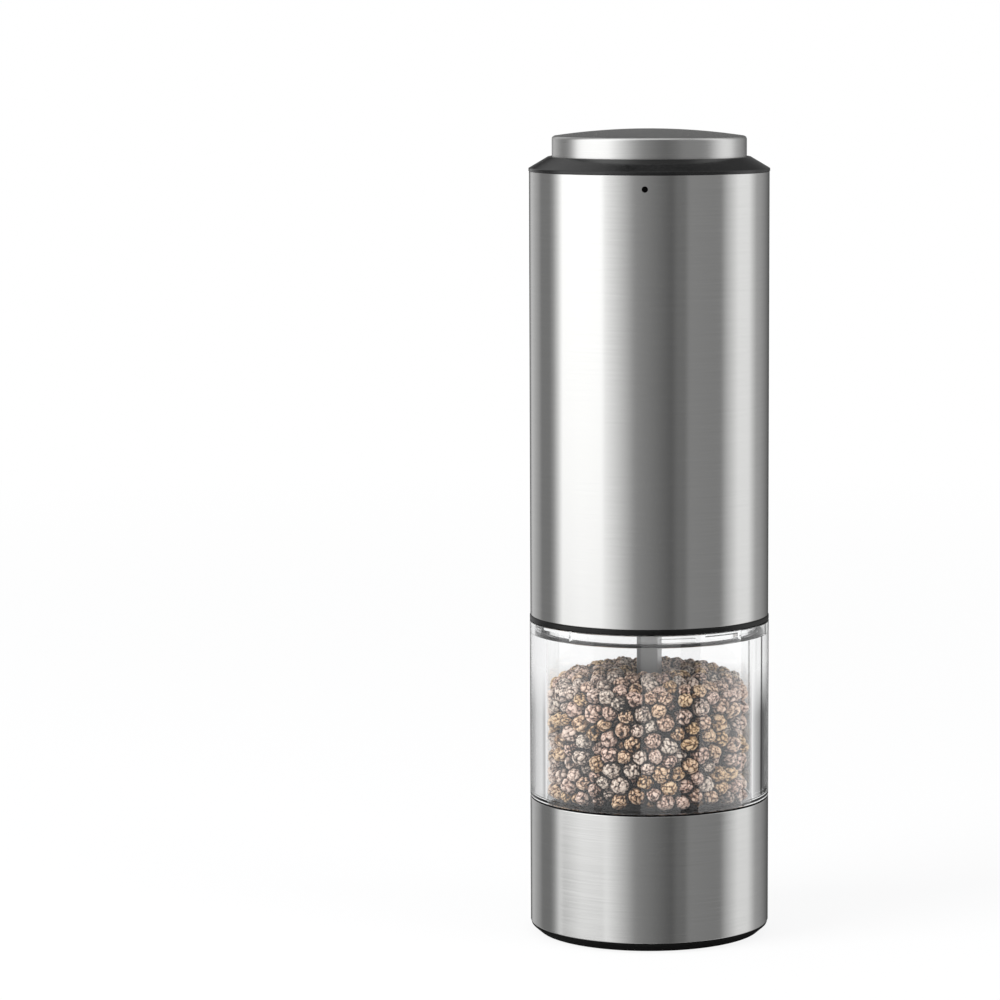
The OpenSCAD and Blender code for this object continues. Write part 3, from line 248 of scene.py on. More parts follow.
STEEL = (0.80, 0.80, 0.79)
ROUND_GRAIN = dict(grains=(60, 60, 5200), depth=0.0000016)
DRAWN_GRAIN = dict(grains=(3000, 3000, 120), depth=0.000003)
BRUSHED = {
    "brushed_steel": dict(tone=STEEL, rough=0.19, **ROUND_GRAIN),
    "button_steel": dict(tone=STEEL, rough=0.30, anisotropy=0.35, **ROUND_GRAIN),
    "steel_top": dict(tone=STEEL, rough=0.24, grains=(90, 2600, 90), depth=0.0000022, radial=False),
    "machined_steel": dict(tone=grey(0.60), rough=0.30, **DRAWN_GRAIN),
    "shaft_steel": dict(tone=grey(0.30), rough=0.34, **DRAWN_GRAIN),
}
DULL = 0.02             # specular level of what mirrors hardly anything
GRAINED = {
    "black_plastic": dict(dark=grey(0.005), light=grey(0.009), rough=0.14, scale=900,
                          depth=0.000002),
    "foot_plastic": dict(dark=grey(0.004), light=grey(0.007), rough=0.5, scale=2600,
                         specular=DULL),
    "frame_plastic": dict(dark=(0.028, 0.029, 0.031), light=(0.05, 0.05, 0.052), rough=0.45),
    "screw_steel": dict(dark=(0.50, 0.50, 0.51), light=(0.66, 0.66, 0.67), rough=0.30,
                        metallic=1.0, scale=2200),
    "spring_steel": dict(dark=(0.45, 0.45, 0.46), light=(0.6, 0.6, 0.61), rough=0.25,
                         metallic=1.0, scale=3000),
    "ceramic_white": dict(dark=(0.72, 0.70, 0.66), light=(0.82, 0.81, 0.77), rough=0.35,
                          scale=2400),
    "black_rubber": dict(dark=grey(0.002), light=grey(0.005), rough=0.6, scale=3000,
                         specular=DULL),
    "seal_rubber": dict(dark=grey(0.002), light=grey(0.005), rough=0.3, scale=3000, specular=0.3),
    "white_nylon": dict(dark=(0.70, 0.69, 0.66), light=(0.80, 0.80, 0.77), rough=0.42, scale=1200),
    "light_grey_plastic": dict(dark=(0.55, 0.55, 0.56), light=(0.66, 0.66, 0.67), rough=0.42),
    "bronze": dict(dark=(0.42, 0.26, 0.11), light=(0.60, 0.40, 0.18), rough=0.32, metallic=1.0,
                   scale=1800),
    "magnet": dict(dark=(0.05, 0.05, 0.055), light=(0.10, 0.10, 0.105), rough=0.5, metallic=0.4,
                   scale=2600),
    "copper_winding": dict(dark=(0.45, 0.18, 0.07), light=(0.75, 0.36, 0.17), rough=0.30,
                           metallic=1.0, scale=900, stretch=(1, 1, 6), depth=0.00005),
    "cell_wrap": dict(dark=(0.03, 0.10, 0.22), light=(0.05, 0.15, 0.30), rough=0.28, scale=500),
    "wire_cover": dict(dark=(0.34, 0.02, 0.02), light=(0.48, 0.04, 0.03), rough=0.40),
    "board_green": dict(dark=(0.01, 0.07, 0.03), light=(0.02, 0.13, 0.06), rough=0.35, scale=700),
    "light_lens": dict(dark=grey(0.0008), light=grey(0.0015), rough=0.5, specular=DULL),
}
M = {name: brushed(name, **look) for name, look in BRUSHED.items()}
M.update({name: grained(name, **look) for name, look in GRAINED.items()})
M["clear_plastic"] = clear("clear_plastic", (0.985, 0.99, 0.99), 1.49)
M["peppercorn"] = peppercorn_skin()


# ---- Mesh helpers ----

def outline(corners, steps=3):
    """A closed (r, z) outline from corners (r, z, radius), each rounded to its radius, with a
    narrow band beside each round so that the flats shade flat."""
    points = []
    for i, (r, z, radius) in enumerate(corners):
        if radius <= 0:
            points.append((r, z))
            continue
        here = Vector((r, z))
        before = Vector(corners[i - 1][:2]) - here
        after = Vector(corners[(i + 1) % len(corners)][:2]) - here
        a, b = before.normalized(), after.normalized()
        half = a.angle(b) / 2
        cut = min(radius / math.tan(half), ROUND_SHARE * before.length, ROUND_SHARE * after.length)
        radius = cut * math.tan(half)
        centre = here + (a + b).normalized() * (radius / math.sin(half))
        start, end = here + a * cut, here + b * cut
        strip = min(BAND, BAND_SHARE * before.length, BAND_SHARE * after.length)
        first, last = start - centre, end - centre
        turn = first.angle_signed(last)
        points.append(tuple(start + a * strip))
        for k in range(steps + 1):
            points.append(tuple(centre + (Matrix.Rotation(-turn * k / steps, 2) @ first)))
        points.append(tuple(end + b * strip))
    return points


def link(obj):
    bpy.context.scene.collection.objects.link(obj)
    return obj


def mesh_object(name, verts, faces):
    mesh = bpy.data.meshes.new(name)
    mesh.from_pydata([tuple(c * MM for c in v) for v in verts], [], faces)
    mesh.validate()
    mesh.update()
    return link(bpy.data.objects.new(name, mesh))


def lathe(name, points, segments=SEGMENTS, start=0.0, arc=360.0):
    """A closed (r, z) outline, counterclockwise, turned about the z axis."""
    whole = arc >= 360
    columns = segments if whole else segments + 1
    verts, rows = [], []
    for r, z in points:
        if r < ON_AXIS:
            rows.append([len(verts)] * columns)
            verts.append((0, 0, z))
            continue
        rows.append(list(range(len(verts), len(verts) + columns)))
        for k in range(columns):
            a = math.radians(start + arc * k / segments)
            verts.append((r * math.cos(a), r * math.sin(a), z))
    faces = []
    for i, low in enumerate(rows):
        high = rows[(i + 1) % len(rows)]
        for k in range(segments):
            m = (k + 1) % columns
            loop = []
            for v in (low[k], low[m], high[m], high[k]):
                if v not in loop:
                    loop.append(v)
            if len(loop) > 2:
                faces.append(loop)
    if not whole:
        faces.append([row[0] for row in rows][::-1])
        faces.append([row[-1] for row in rows])
    return mesh_object(name, verts, faces)


def box_mesh(name, size, centre):
    x, y, z = (s / 2 for s in size)
    verts = [(centre[0] + i * x, centre[1] + j * y, centre[2] + k * z)
             for i in (-1, 1) for j in (-1, 1) for k in (-1, 1)]
    faces = [(0, 1, 3, 2), (4, 6, 7, 5), (0, 4, 5, 1), (2, 3, 7, 6), (0, 2, 6, 4), (1, 5, 7, 3)]
    return mesh_object(name, verts, faces)


def rod_mesh(name, radius, y0, y1, z, half_width=0.0, segments=48):
    """A rod along y, or a flat oval bar when half_width is above zero."""
    verts = []
    for y in (y0, y1):
        for k in range(segments):
            a = 2 * math.pi * k / segments
            shift = math.copysign(half_width, math.cos(a)) if abs(math.cos(a)) > 1e-9 else 0
            verts.append((radius * math.cos(a) + shift, y, z + radius * math.sin(a)))
    faces = []
    for k in range(segments):
        m = (k + 1) % segments
        faces.append((k, k + segments, m + segments, m))
    faces.append(tuple(range(segments)))
    faces.append(tuple(range(2 * segments - 1, segments - 1, -1)))
    return mesh_object(name, verts, faces)


def combine(obj, others, operation):
    """A boolean of obj with others, applied to obj's mesh. The others are removed."""
    for other in others:
        m = obj.modifiers.new("cut", "BOOLEAN")
        m.operation = operation
        m.solver = "EXACT"
        m.object = other
    graph = bpy.context.evaluated_depsgraph_get()
    made = bpy.data.meshes.new_from_object(obj.evaluated_get(graph))
    obj.modifiers.clear()
    old = obj.data
    obj.data = made
    bpy.data.meshes.remove(old)
    for other in others:
        bpy.data.objects.remove(other)
    return obj


def shade(obj):
    """Smooth shading with hard edges kept, and the normals of turned faces made exact."""
    mesh = obj.data
    mesh.shade_smooth()
    mesh.set_sharp_from_angle(angle=SHARP)
    normals = np.zeros(len(mesh.loops) * 3, np.float32)
    mesh.corner_normals.foreach_get("vector", normals)
    normals = normals.reshape(-1, 3)
    exact = normals.copy()
    for face in mesh.polygons:
        c, n = face.center, face.normal
        out = Vector((c.x, c.y, 0))
        if out.length < ON_AXIS:
            continue
        out.normalize()
        across = Vector((-out.y, out.x, 0))
        if abs(n.dot(across)) > TURNED_LEAN:
            continue
        for i in face.loop_indices:
            v = mesh.vertices[mesh.loops[i].vertex_index].co
            away = math.hypot(v.x, v.y)
            if away < ON_AXIS:
                continue
            u = Vector((v.x / away, v.y / away, 0))
            m = Vector(normals[i])
            level = math.copysign(math.hypot(m.x, m.y), m.x * u.x + m.y * u.y)
            exact[i] = (u.x * level, u.y * level, m.z)
    mesh.normals_split_custom_set([tuple(e) for e in exact])
    return obj


def piece(obj, node, body, slot, material=None):
    """Dresses obj, seats it on its body and lets it stand for a CAD node. Its material is the
    slot's, or one of its own."""
    obj.data.materials.clear()
    obj.data.materials.append(material or M[slot])
    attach(obj, body)
    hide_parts(node)
    return obj


def turned(name, corners, *where):
    """A turned piece with nothing cut out of it."""
    return piece(shade(lathe(name, outline(corners))), *where)


# ---- Base ----

SLEEVE_T = 0.6
FOOT_R, RECESS_R, RECESS_H, FOOT_FLOOR = 29.15, 22.65, 0.5, 1.6
PLUG_R, PLUG_IN_R, Z_PLUG = 28.77, 27.37, 9.4       # the rim that plugs into the base
GASKET_IN_R = 29.25
FOOT_INSET, GASKET_INSET = 0.2, 0.15        # how far they stand behind the sleeve
z_foot_rim = Z_FOOT1 - SEAT
turned("foot", [
    (0, RECESS_H, 0), (RECESS_R + 0.5, RECESS_H, 0.3), (RECESS_R, 0, 0.3), (FOOT_R, 0, 0.5),
    (BODY_R - FOOT_INSET, z_foot_rim - 0.5, 0.7), (BODY_R - FOOT_INSET, z_foot_rim, 0.1),
    (PLUG_R, z_foot_rim, 0.1), (PLUG_R, Z_PLUG - 0.5, 0.4), (PLUG_R - 0.5, Z_PLUG, 0.2),
    (PLUG_IN_R, Z_PLUG, 0.3), (PLUG_IN_R, FOOT_FLOOR + 1, 0.8), (PLUG_IN_R - 1, FOOT_FLOOR, 0.3),
    (0, FOOT_FLOOR, 0)], "base_cap", "foot", "black_plastic", M["foot_plastic"])
turned("base_shell", [
    (BODY_R - SLEEVE_T, Z_FOOT1, 0.1), (BODY_R, Z_FOOT1, 0.25), (BODY_R, Z_BASE1, 0.3),
    (BODY_R - SLEEVE_T, Z_BASE1, 0.1)], "base_sleeve", "base", "brushed_steel")
turned("base_line", [
    (GASKET_IN_R, Z_BASE1, 0), (BODY_R - GASKET_INSET, Z_BASE1, 0.1),
    (BODY_R - GASKET_INSET, Z_GASKET1 - AIR_FILM, 0.1), (GASKET_IN_R, Z_GASKET1 - AIR_FILM, 0)],
    "base_gasket", "base", "black_rubber")


# ---- Jar, with the bayonet's lugs ----

JAR_IN_R, SPIGOT_R = 27.2, 29.2
MOUTH_R, MOUTH_DEPTH = 30.3, 3.2
LUGS, LUG_H, LUG_IN_R, LUG_SINK = 4, 1.0, 28.7, 0.3
JAR_LUG_A, JAR_LUG_ARC = -60.0, 20.0
STOP_ARC, STOP_LAP, STOP_LIFT = 2.2, 0.01, 0.55
HEAD_LUG_ARC, LOCK_TURN, LOCK_PLAY = 18.0, 24.0, 0.5
LUG_PLAY, HEAD_LUG_GAP = 0.2, 0.3       # below the jar's lugs, and to the mouth's wall
RIDE_R, RING_T, RING_LIFT = LUG_IN_R - 0.3, 2, 0.3
SEAL_IN_R, MOUTH_LINE_H = LUG_IN_R + 0.1, 0.5
z_mouth = Z_JAR1 - MOUTH_DEPTH


def lug(name, start, arc, r0, r1, z0, z1, radius=0.2):
    return lathe(name, outline([(r0, z0, radius), (r1, z0, 0), (r1, z1, 0), (r0, z1, radius)]),
                 max(6, int(arc)), start, arc)


jar = lathe("clear_jar", outline([
    (JAR_IN_R, Z_JAR0, 0.3), (SPIGOT_R, Z_JAR0, 0.3), (SPIGOT_R, Z_GASKET1, 0),
    (BODY_R, Z_GASKET1, 0.15), (BODY_R, Z_JAR1, 0.25), (MOUTH_R, Z_JAR1, 0.15),
    (MOUTH_R, z_mouth, 0), (JAR_IN_R, z_mouth, 0.5)]))
blocks = []
for i in range(LUGS):
    lug_a = JAR_LUG_A + 90 * i
    blocks.append(lug(f"lug{i}", lug_a, JAR_LUG_ARC, LUG_IN_R, MOUTH_R + LUG_SINK,
                      Z_JAR1 - LUG_H, Z_JAR1 - FREE))
    blocks.append(lug(f"stop{i}", lug_a + JAR_LUG_ARC - STOP_LAP, STOP_ARC, LUG_IN_R,
                      MOUTH_R + LUG_SINK, z_mouth + STOP_LIFT, Z_JAR1 - 2 * FREE))
combine(jar, blocks, "UNION")
piece(shade(jar), "pepper_jar", "base", "clear_plastic")
jar.visible_shadow = False

turned("mouth_line", [
    (SEAL_IN_R, z_mouth, 0.1), (MOUTH_R - SEAT, z_mouth, 0.1),
    (MOUTH_R - SEAT, z_mouth + MOUTH_LINE_H, 0.15), (SEAL_IN_R, z_mouth + MOUTH_LINE_H, 0.15)],
    "mouth_seal", "base", "black_rubber")

bayonet = lathe("head_ring", outline([
    (RIDE_R - RING_T, z_mouth + RING_LIFT, 0.2), (RIDE_R, z_mouth + RING_LIFT, 0.2),
    (RIDE_R, Z_TUBE0, 0), (RIDE_R - RING_T, Z_TUBE0, 0)]))
z_head_lug1 = Z_JAR1 - LUG_H - LUG_PLAY
head_lug_a = JAR_LUG_A + JAR_LUG_ARC - LOCK_PLAY - HEAD_LUG_ARC - LOCK_TURN
combine(bayonet, [lug(f"head_lug{i}", head_lug_a + 90 * i, HEAD_LUG_ARC, RIDE_R - LUG_SINK,
                      MOUTH_R - HEAD_LUG_GAP, z_head_lug1 - LUG_H, z_head_lug1, 0.05)
                  for i in range(LUGS)], "UNION")
piece(shade(bayonet), "bayonet_ring", "head", "clear_plastic")
bayonet.visible_shadow = False

turned("head_seal", [
    (SEAL_IN_R, Z_JAR1 + SEAT, 0.1), (BODY_R, Z_JAR1 + SEAT, 0.25),
    (BODY_R, Z_TUBE0 - SEAT, 0.25), (SEAL_IN_R, Z_TUBE0 - SEAT, 0.1)],
    "rim_seal", "seal", "black_rubber", M["seal_rubber"])


# ---- Drive shaft ----

SHAFT_W, SHAFT_TURN = 5.6, -10.0
SHAFT_CORNER_R = SHAFT_W * 0.69
SHAFT_CHAMFER, NOSE_H, NOSE_INSET = 0.35, 1.2, 0.9


def shaft_ring(inset, z, arc_steps=5):
    """The shaft's square with its corners cut round, set in by inset."""
    flat = SHAFT_W / 2 - inset
    corner = SHAFT_CORNER_R - inset
    open_a = math.degrees(math.acos(flat / corner))
    ring = []
    for side in range(4):
        a0 = side * 90 + open_a
        a1 = (side + 1) * 90 - open_a
        for k in range(arc_steps + 1):
            a = math.radians(a0 + (a1 - a0) * k / arc_steps + SHAFT_TURN)
            ring.append((corner * math.cos(a), corner * math.sin(a), z))
    return ring


rings = [shaft_ring(SHAFT_CHAMFER, Z_SHAFT0), shaft_ring(0.0, Z_SHAFT0 + SHAFT_CHAMFER),
         shaft_ring(0.0, Z_SHAFT1 - NOSE_H), shaft_ring(NOSE_INSET, Z_SHAFT1)]
around = len(rings[0])
last_ring = around * (len(rings) - 1)
faces = [tuple(range(around))[::-1], tuple(range(last_ring, last_ring + around))]
for low in range(0, last_ring, around):
    high = low + around
    for k in range(around):
        m = (k + 1) % around
        faces.append((low + k, low + m, high + m, high + k))
shaft = mesh_object("square_shaft", [v for ring in rings for v in ring], faces)
shaft.data.shade_smooth()
shaft.data.set_sharp_from_angle(angle=SHAFT_SHARP)
piece(shaft, "drive_shaft", "drive", "machined_steel", M["shaft_steel"])


# ---- Head ----

Z_LIGHT, LIGHT_R = 197.0, 0.8
SOCKET_R, SOCKET_HALF_W = 1.75, 2.9
tube = lathe("steel_body", outline([
    (HEAD_R - SLEEVE_T, Z_TUBE0, 0.1), (HEAD_R, Z_TUBE0, 0.22), (HEAD_R, Z_TUBE1, 0.2),
    (HEAD_R - SLEEVE_T, Z_TUBE1, 0.1)]))
combine(tube, [rod_mesh("light_cut", LIGHT_R, -HEAD_R - 2, -HEAD_R + 3, Z_LIGHT),
               rod_mesh("socket_cut", SOCKET_R, HEAD_R - 3, HEAD_R + 2, Z_LIGHT, SOCKET_HALF_W)],
        "DIFFERENCE")
piece(shade(tube), "steel_tube", "head", "brushed_steel")

COLLAR_H, COLLAR_EDGE_H, COLLAR_TOP_R = 3.8, 0.8, 26.4
COLLAR_PLUG_R = HEAD_R - (SLEEVE_T + SEAT)
WELL_R, WEB_T = 25.65, 1.8
STEM_R, GUIDE_R, Z_GUIDE1 = 5.88, 7.38, 205.0
HOOK_SLOTS, HOOK_SLOT, HOOK_R = 3, (2.2, 3.4, 4), 16        # slots for the button's snap hooks
z_collar1 = Z_TUBE1 + COLLAR_H
z_web1 = Z_COLLAR0 + WEB_T
collar = lathe("collar_trim", outline([
    (STEM_R, Z_COLLAR0, 0.1), (COLLAR_PLUG_R, Z_COLLAR0, 0.2), (COLLAR_PLUG_R, Z_TUBE1, 0.05),
    (COLLAR_R, Z_TUBE1, 0.12), (COLLAR_R, Z_TUBE1 + COLLAR_EDGE_H, 0.22),
    (COLLAR_TOP_R, z_collar1, 0.35), (WELL_R, z_collar1, 0.15), (WELL_R, z_web1, 0.3),
    (GUIDE_R, z_web1, 0.3), (GUIDE_R, Z_GUIDE1, 0.2), (STEM_R, Z_GUIDE1, 0.2)], 5))
slots = []
for i in range(HOOK_SLOTS):
    block = box_mesh(f"slot{i}", HOOK_SLOT, (HOOK_R, 0, Z_COLLAR0 + 1))
    block.data.transform(Matrix.Rotation(math.radians(60 + 120 * i), 4, "Z"))
    slots.append(block)
combine(collar, slots, "DIFFERENCE")
piece(shade(collar), "collar", "head", "black_plastic")

BUTTON_R, BUTTON_RISE, EDGE_R, CAP_T, SKIRT_CHAMFER = 25.4, 5.4, 0.9, 0.5, 0.1
FACES_UP = 0.9          # faces whose normal rises more than this are brushed straight across
z_rim = z_collar1 + BUTTON_RISE
crown = Z_BUTTON1 - z_rim
flat_r = BUTTON_R - EDGE_R
dome_r = (flat_r * flat_r + crown * crown) / (2 * crown)


def button_side(inset, edge_steps=8, dome_steps=24):
    """The button's outline from its rim up to the middle of its crown, set in by inset."""
    points = []
    for k in range(edge_steps + 1):
        a = math.radians(90 * k / edge_steps)
        points.append((flat_r + (EDGE_R - inset) * math.cos(a),
                       z_rim - EDGE_R + (EDGE_R - inset) * math.sin(a)))
    for k in range(1, dome_steps + 1):
        r = flat_r * (1 - k / dome_steps)
        z = z_rim + math.sqrt(dome_r * dome_r - r * r) - dome_r + crown - inset
        points.append((max(r, 0), z))
    return points


skirt = [(BUTTON_R - CAP_T, Z_SKIRT0), (BUTTON_R - SKIRT_CHAMFER, Z_SKIRT0),
         (BUTTON_R, Z_SKIRT0 + SKIRT_CHAMFER), (BUTTON_R, Z_SKIRT0 + SKIRT_CHAMFER + BAND),
         (BUTTON_R, z_rim - EDGE_R - BAND)]
button = lathe("button_shell", skirt + button_side(0) + button_side(CAP_T)[::-1])
piece(shade(button), "button_cap", "button", "brushed_steel", M["button_steel"])
button.data.materials.append(M["steel_top"])
for face in button.data.polygons:
    if face.normal.z > FACES_UP:
        face.material_index = 1


# ---- Peppercorns ----

rng = np.random.default_rng(11)
CORN_COUNT, CORN_MIN, CORN_MAX = 1080, 1.75, 2.5        # radii
CORN_SHAPES, CELLS = 12, (22, 38)       # shapes for each kind, and the plates on a corn
CORNS_FROM_R, CORNS_TO_R, CORNS_FROM_Z, CORNS_TO_Z = 7.0, 25.0, 38, 72
PACK_STEPS, SINK_STEPS, SINK, PUSH = 160, 150, 0.01, 0.42
OVERLAP = 0.94          # corns may sink into each other by the rest
WALL_GAP = 0.07
SEED_ROUNDS, SEED_PUSH = 6, 0.02        # how evenly a corn's cells are spread
BEND, BEND_WAVES, STRETCH = 0.20, 3, (0.5, 1.5)         # how the cells are drawn out
CREASE_W, CREASE_H = 0.13, 0.19
PLATE_R, PLATE_TONES = 0.55, (0.45, 1.0)
LUMP_H, LUMP_WAVES = 0.05, 2.4
SQUASH = (0.88, 1.05)
CONTACT_GAP, SHADE_DEPTH, SKIN = 0.75, 3.2, 0.4     # shade near a neighbour, and under the skin
NEIGHBOUR, DARKEST = 2.4, 0.12      # neighbours' distance in largest corns, and the least light
OPEN_R, OPEN_DEPTH = 20.2, 6.5      # corns outside this radius or above this depth may be seen
# The heap's top, as (r, z). It leaves a gap at the jar's right.
HEAP = np.array([(5.5, 69.2), (8.1, 70.4), (13.5, 71.1), (20.2, 69.8), (27.0, 66.9)])
HEAP_RIGHT = 24.8
Z_FILL0 = Z_GASKET1 + SEAT
# What the corns keep off: the shaft, the bush and the outlet by radius, the last two below a
# height, and the bridge as two blocks (half width, half depth, top).
SHAFT_KEEP_R = 4.9
BUSH_KEEP_R, BUSH_TOP = 7.7, 59.4
OUTLET_KEEP_R, OUTLET_TOP = 14.4, 44.8
BRIDGE = [(17.2, 5.5, 58.3), (23.2, 5.5, Z_GASKET1 + 3.6)]
BRIDGE_SHARE = 0.9      # share of a corn's radius that stays out of the bridge


def heap_top(r):
    return np.interp(r, HEAP[:, 0], HEAP[:, 1])


def keep_inside(p, size):
    """Pushes corns back from the wall, the floor, the heap's top, the shaft and the bridge."""
    r = np.hypot(p[:, 0], p[:, 1])
    u = p[:, :2] / r[:, None]
    foot = p[:, 2] - size
    nearest = np.where(foot < BUSH_TOP, BUSH_KEEP_R, SHAFT_KEEP_R) + size
    nearest = np.where(foot < OUTLET_TOP, np.maximum(nearest, OUTLET_KEEP_R), nearest)
    r = np.minimum(np.maximum(r, nearest), JAR_IN_R - WALL_GAP - size)
    p[:, :2] = u * r[:, None]
    p[:, 0] = np.minimum(p[:, 0], HEAP_RIGHT - size)
    p[:, 2] = np.maximum(np.minimum(p[:, 2], heap_top(r) - size), Z_FILL0 + size)
    for half_x, half_y, top in BRIDGE:
        dx = half_x + size * BRIDGE_SHARE - np.abs(p[:, 0])
        dy = half_y + size * BRIDGE_SHARE - np.abs(p[:, 1])
        dz = top + size * BRIDGE_SHARE - p[:, 2]
        hit = (dx > 0) & (dy > 0) & (dz > 0)
        up = hit & (dz <= dy)
        side = hit & ~up
        p[up, 2] += dz[up]
        p[side, 1] += np.where(p[side, 1] < 0, -1, 1) * dy[side]


def pack_corns():
    """Centres and radii of corns that are pushed apart while they sink into the heap."""
    size = rng.uniform(CORN_MIN, CORN_MAX, CORN_COUNT)
    a = rng.uniform(0, 2 * math.pi, CORN_COUNT)
    r = np.sqrt(rng.uniform(CORNS_FROM_R ** 2, CORNS_TO_R ** 2, CORN_COUNT))
    z = rng.uniform(CORNS_FROM_Z, CORNS_TO_Z, CORN_COUNT)
    p = np.stack([r * np.cos(a), r * np.sin(a), z], 1)
    keep_inside(p, size)
    for step in range(PACK_STEPS):
        gap = p[:, None, :] - p[None, :, :]
        far = np.sqrt((gap ** 2).sum(2)) + np.eye(CORN_COUNT) * 1e3 + 1e-9
        over = np.maximum(OVERLAP * (size[:, None] + size[None, :]) - far, 0)
        p += (gap * (over / far)[:, :, None]).sum(1) * PUSH
        if step < SINK_STEPS:
            p[:, 2] -= SINK
        keep_inside(p, size)
    return p, size


def on_sphere(points):
    return points / np.linalg.norm(points, axis=1)[:, None]


def sphere(subdivisions):
    bm = bmesh.new()
    bmesh.ops.create_icosphere(bm, subdivisions=subdivisions, radius=1.0)
    verts = np.array([v.co[:] for v in bm.verts])
    faces = np.array([[v.index for v in f.verts] for f in bm.faces])
    bm.free()
    return on_sphere(verts), faces


def wrinkle(verts, cells):
    """Plates between creases along the borders of random, drawn-out cells. Gives each vertex its
    radius and how light it is: each plate's own tone, lighter towards its middle, and in the
    creases painted shade over the skin's darker furrows."""
    seeds = on_sphere(rng.normal(size=(cells, 3)))
    for _ in range(SEED_ROUNDS):
        push = seeds[:, None] - seeds[None]
        d = np.linalg.norm(push, axis=2) + np.eye(cells)
        seeds = on_sphere(seeds + (push / d[:, :, None] ** 3).sum(1) * SEED_PUSH)
    waves = verts @ rng.normal(size=(3, 3)) * BEND_WAVES + rng.uniform(0, 6, 3)
    bent = verts + BEND * np.sin(waves)
    squeeze = rng.uniform(*STRETCH, 3)
    far = np.linalg.norm((bent[:, None] - seeds[None]) * squeeze, axis=2)
    order = np.argsort(far, axis=1)
    d = np.take_along_axis(far, order[:, :2], 1)
    crease = np.exp(-((d[:, 1] - d[:, 0]) / CREASE_W) ** 2)
    tone = rng.uniform(*PLATE_TONES, cells)[order[:, 0]]
    plate = np.clip(1 - d[:, 0] / PLATE_R, 0, 1)
    # painted shade: the creases go dark, over the skin's own darker furrows
    light = np.clip((0.35 + 0.65 * tone * (0.5 + plate)) * (1 - crease), 0, 1)
    waves = verts @ rng.normal(size=(3, 2)) * LUMP_WAVES + rng.uniform(0, 6, 2)
    lump = LUMP_H * np.sin(waves).sum(1)
    return 1 - CREASE_H * crease * (0.6 + 0.4 * tone) + lump, light


def painted_shade(verts, mine, centres, sizes):
    """Painted shade for each vertex of a corn: dark near its neighbours and deep in the heap."""
    nearby = NEIGHBOUR * CORN_MAX + CONTACT_GAP
    others = np.flatnonzero((np.linalg.norm(centres - centres[mine], axis=1) < nearby)
                            & (np.arange(len(centres)) != mine))
    if not len(others):
        return np.ones(len(verts))
    far = np.linalg.norm(verts[:, None] - centres[others][None], axis=2) - sizes[others]
    gap = np.clip(far.min(1) / CONTACT_GAP, 0, 1)
    r = np.hypot(verts[:, 0], verts[:, 1])
    depth = np.minimum(JAR_IN_R - SKIN - r, np.maximum(heap_top(r) - SKIN - verts[:, 2], 0))
    depth = np.minimum(depth, np.maximum(HEAP_RIGHT - SKIN - verts[:, 0], 0))
    # painted shade: darker by a close neighbour and the deeper the vertex lies in the heap
    return (DARKEST + (1 - DARKEST) * gap) * np.clip(1.25 - depth / SHADE_DEPTH, DARKEST, 1)


def corn_batch(name, picked, centres, sizes, shapes, faces):
    """One piece made of the picked corns, each a turned and squashed copy of a random shape, whose
    vertex lightness holds painted shade.
    """
    count, each = len(picked), len(shapes[0][0])
    verts = np.zeros((count, each, 3))
    skin_light_and_shade = np.zeros((count, each), np.float32)
    tint = np.zeros((count, each), np.float32)
    for i, mine in enumerate(picked):
        shape, light = shapes[rng.integers(len(shapes))]
        axis = rng.normal(size=4)[:3]
        turn = np.array(Matrix.Rotation(2 * math.pi * rng.random(), 3, Vector(axis)))
        squash = rng.uniform(*SQUASH, 3)
        verts[i] = (shape * squash) @ turn.T * sizes[mine] + centres[mine]
        level = np.clip(light * rng.uniform(0.8, 1.3) + rng.uniform(-0.04, 0.12), 0, 1)
        # the skin's lightness times painted shade near neighbours and deep in the heap
        skin_light_and_shade[i] = level * painted_shade(verts[i], mine, centres, sizes)
        tint[i] = rng.uniform(0, 1)
    all_faces = (np.arange(count)[:, None, None] * each + faces[None]).reshape(-1, 3)
    mesh = bpy.data.meshes.new(name)
    flat = (verts.reshape(-1, 3) * MM).astype(np.float32)
    mesh.vertices.add(len(flat))
    mesh.vertices.foreach_set("co", flat.ravel())
    mesh.loops.add(all_faces.size)
    mesh.loops.foreach_set("vertex_index", all_faces.astype(np.int32).ravel())
    mesh.polygons.add(len(all_faces))
    mesh.polygons.foreach_set("loop_start", np.arange(0, all_faces.size, 3, dtype=np.int32))
    mesh.update(calc_edges=True)
    for key, values in (("skin_light_and_shade", skin_light_and_shade), ("tint", tint)):
        mesh.attributes.new(key, "FLOAT", "POINT").data.foreach_set("value", values.ravel())
    mesh.shade_smooth()
    piece(link(bpy.data.objects.new(name, mesh)), "peppercorn_fill", "base", "peppercorn")


corn_centres, corn_sizes = pack_corns()
corn_r = np.hypot(corn_centres[:, 0], corn_centres[:, 1])
seen = (corn_r > OPEN_R) | (corn_centres[:, 2] > heap_top(corn_r) - OPEN_DEPTH)
# The corns that may be seen are finer: (kind, subdivisions, which, corns in a piece).
for kind, fineness, chosen, per_piece in (("outer", 4, seen, 150), ("inner", 3, ~seen, 600)):
    ball, ball_faces = sphere(fineness)
    shapes = []
    for _ in range(CORN_SHAPES):
        radius, light = wrinkle(ball, int(rng.integers(*CELLS)))
        shapes.append((ball * radius[:, None], light))
    index = np.flatnonzero(chosen)
    for part, first in enumerate(range(0, len(index), per_piece)):
        corn_batch(f"peppercorns_{kind}_{part + 1}", index[first:first + per_piece],
                   corn_centres, corn_sizes, shapes, ball_faces)


# ---- CAD nodes that keep their own mesh ----

for entry in frame["record"]["subparts"]:
    cad = frame["nodes"].get(entry["node"])
    if cad:
        cad.data.materials.clear()
        cad.data.materials.append(M[entry["material_slot"]])


# ---- Stage: reflection panels and cards, in metres ----

CAM_AZ, CAM_D, CAM_H, CAM_TILT = 2.07, 1.0546, 0.2378, 6.68
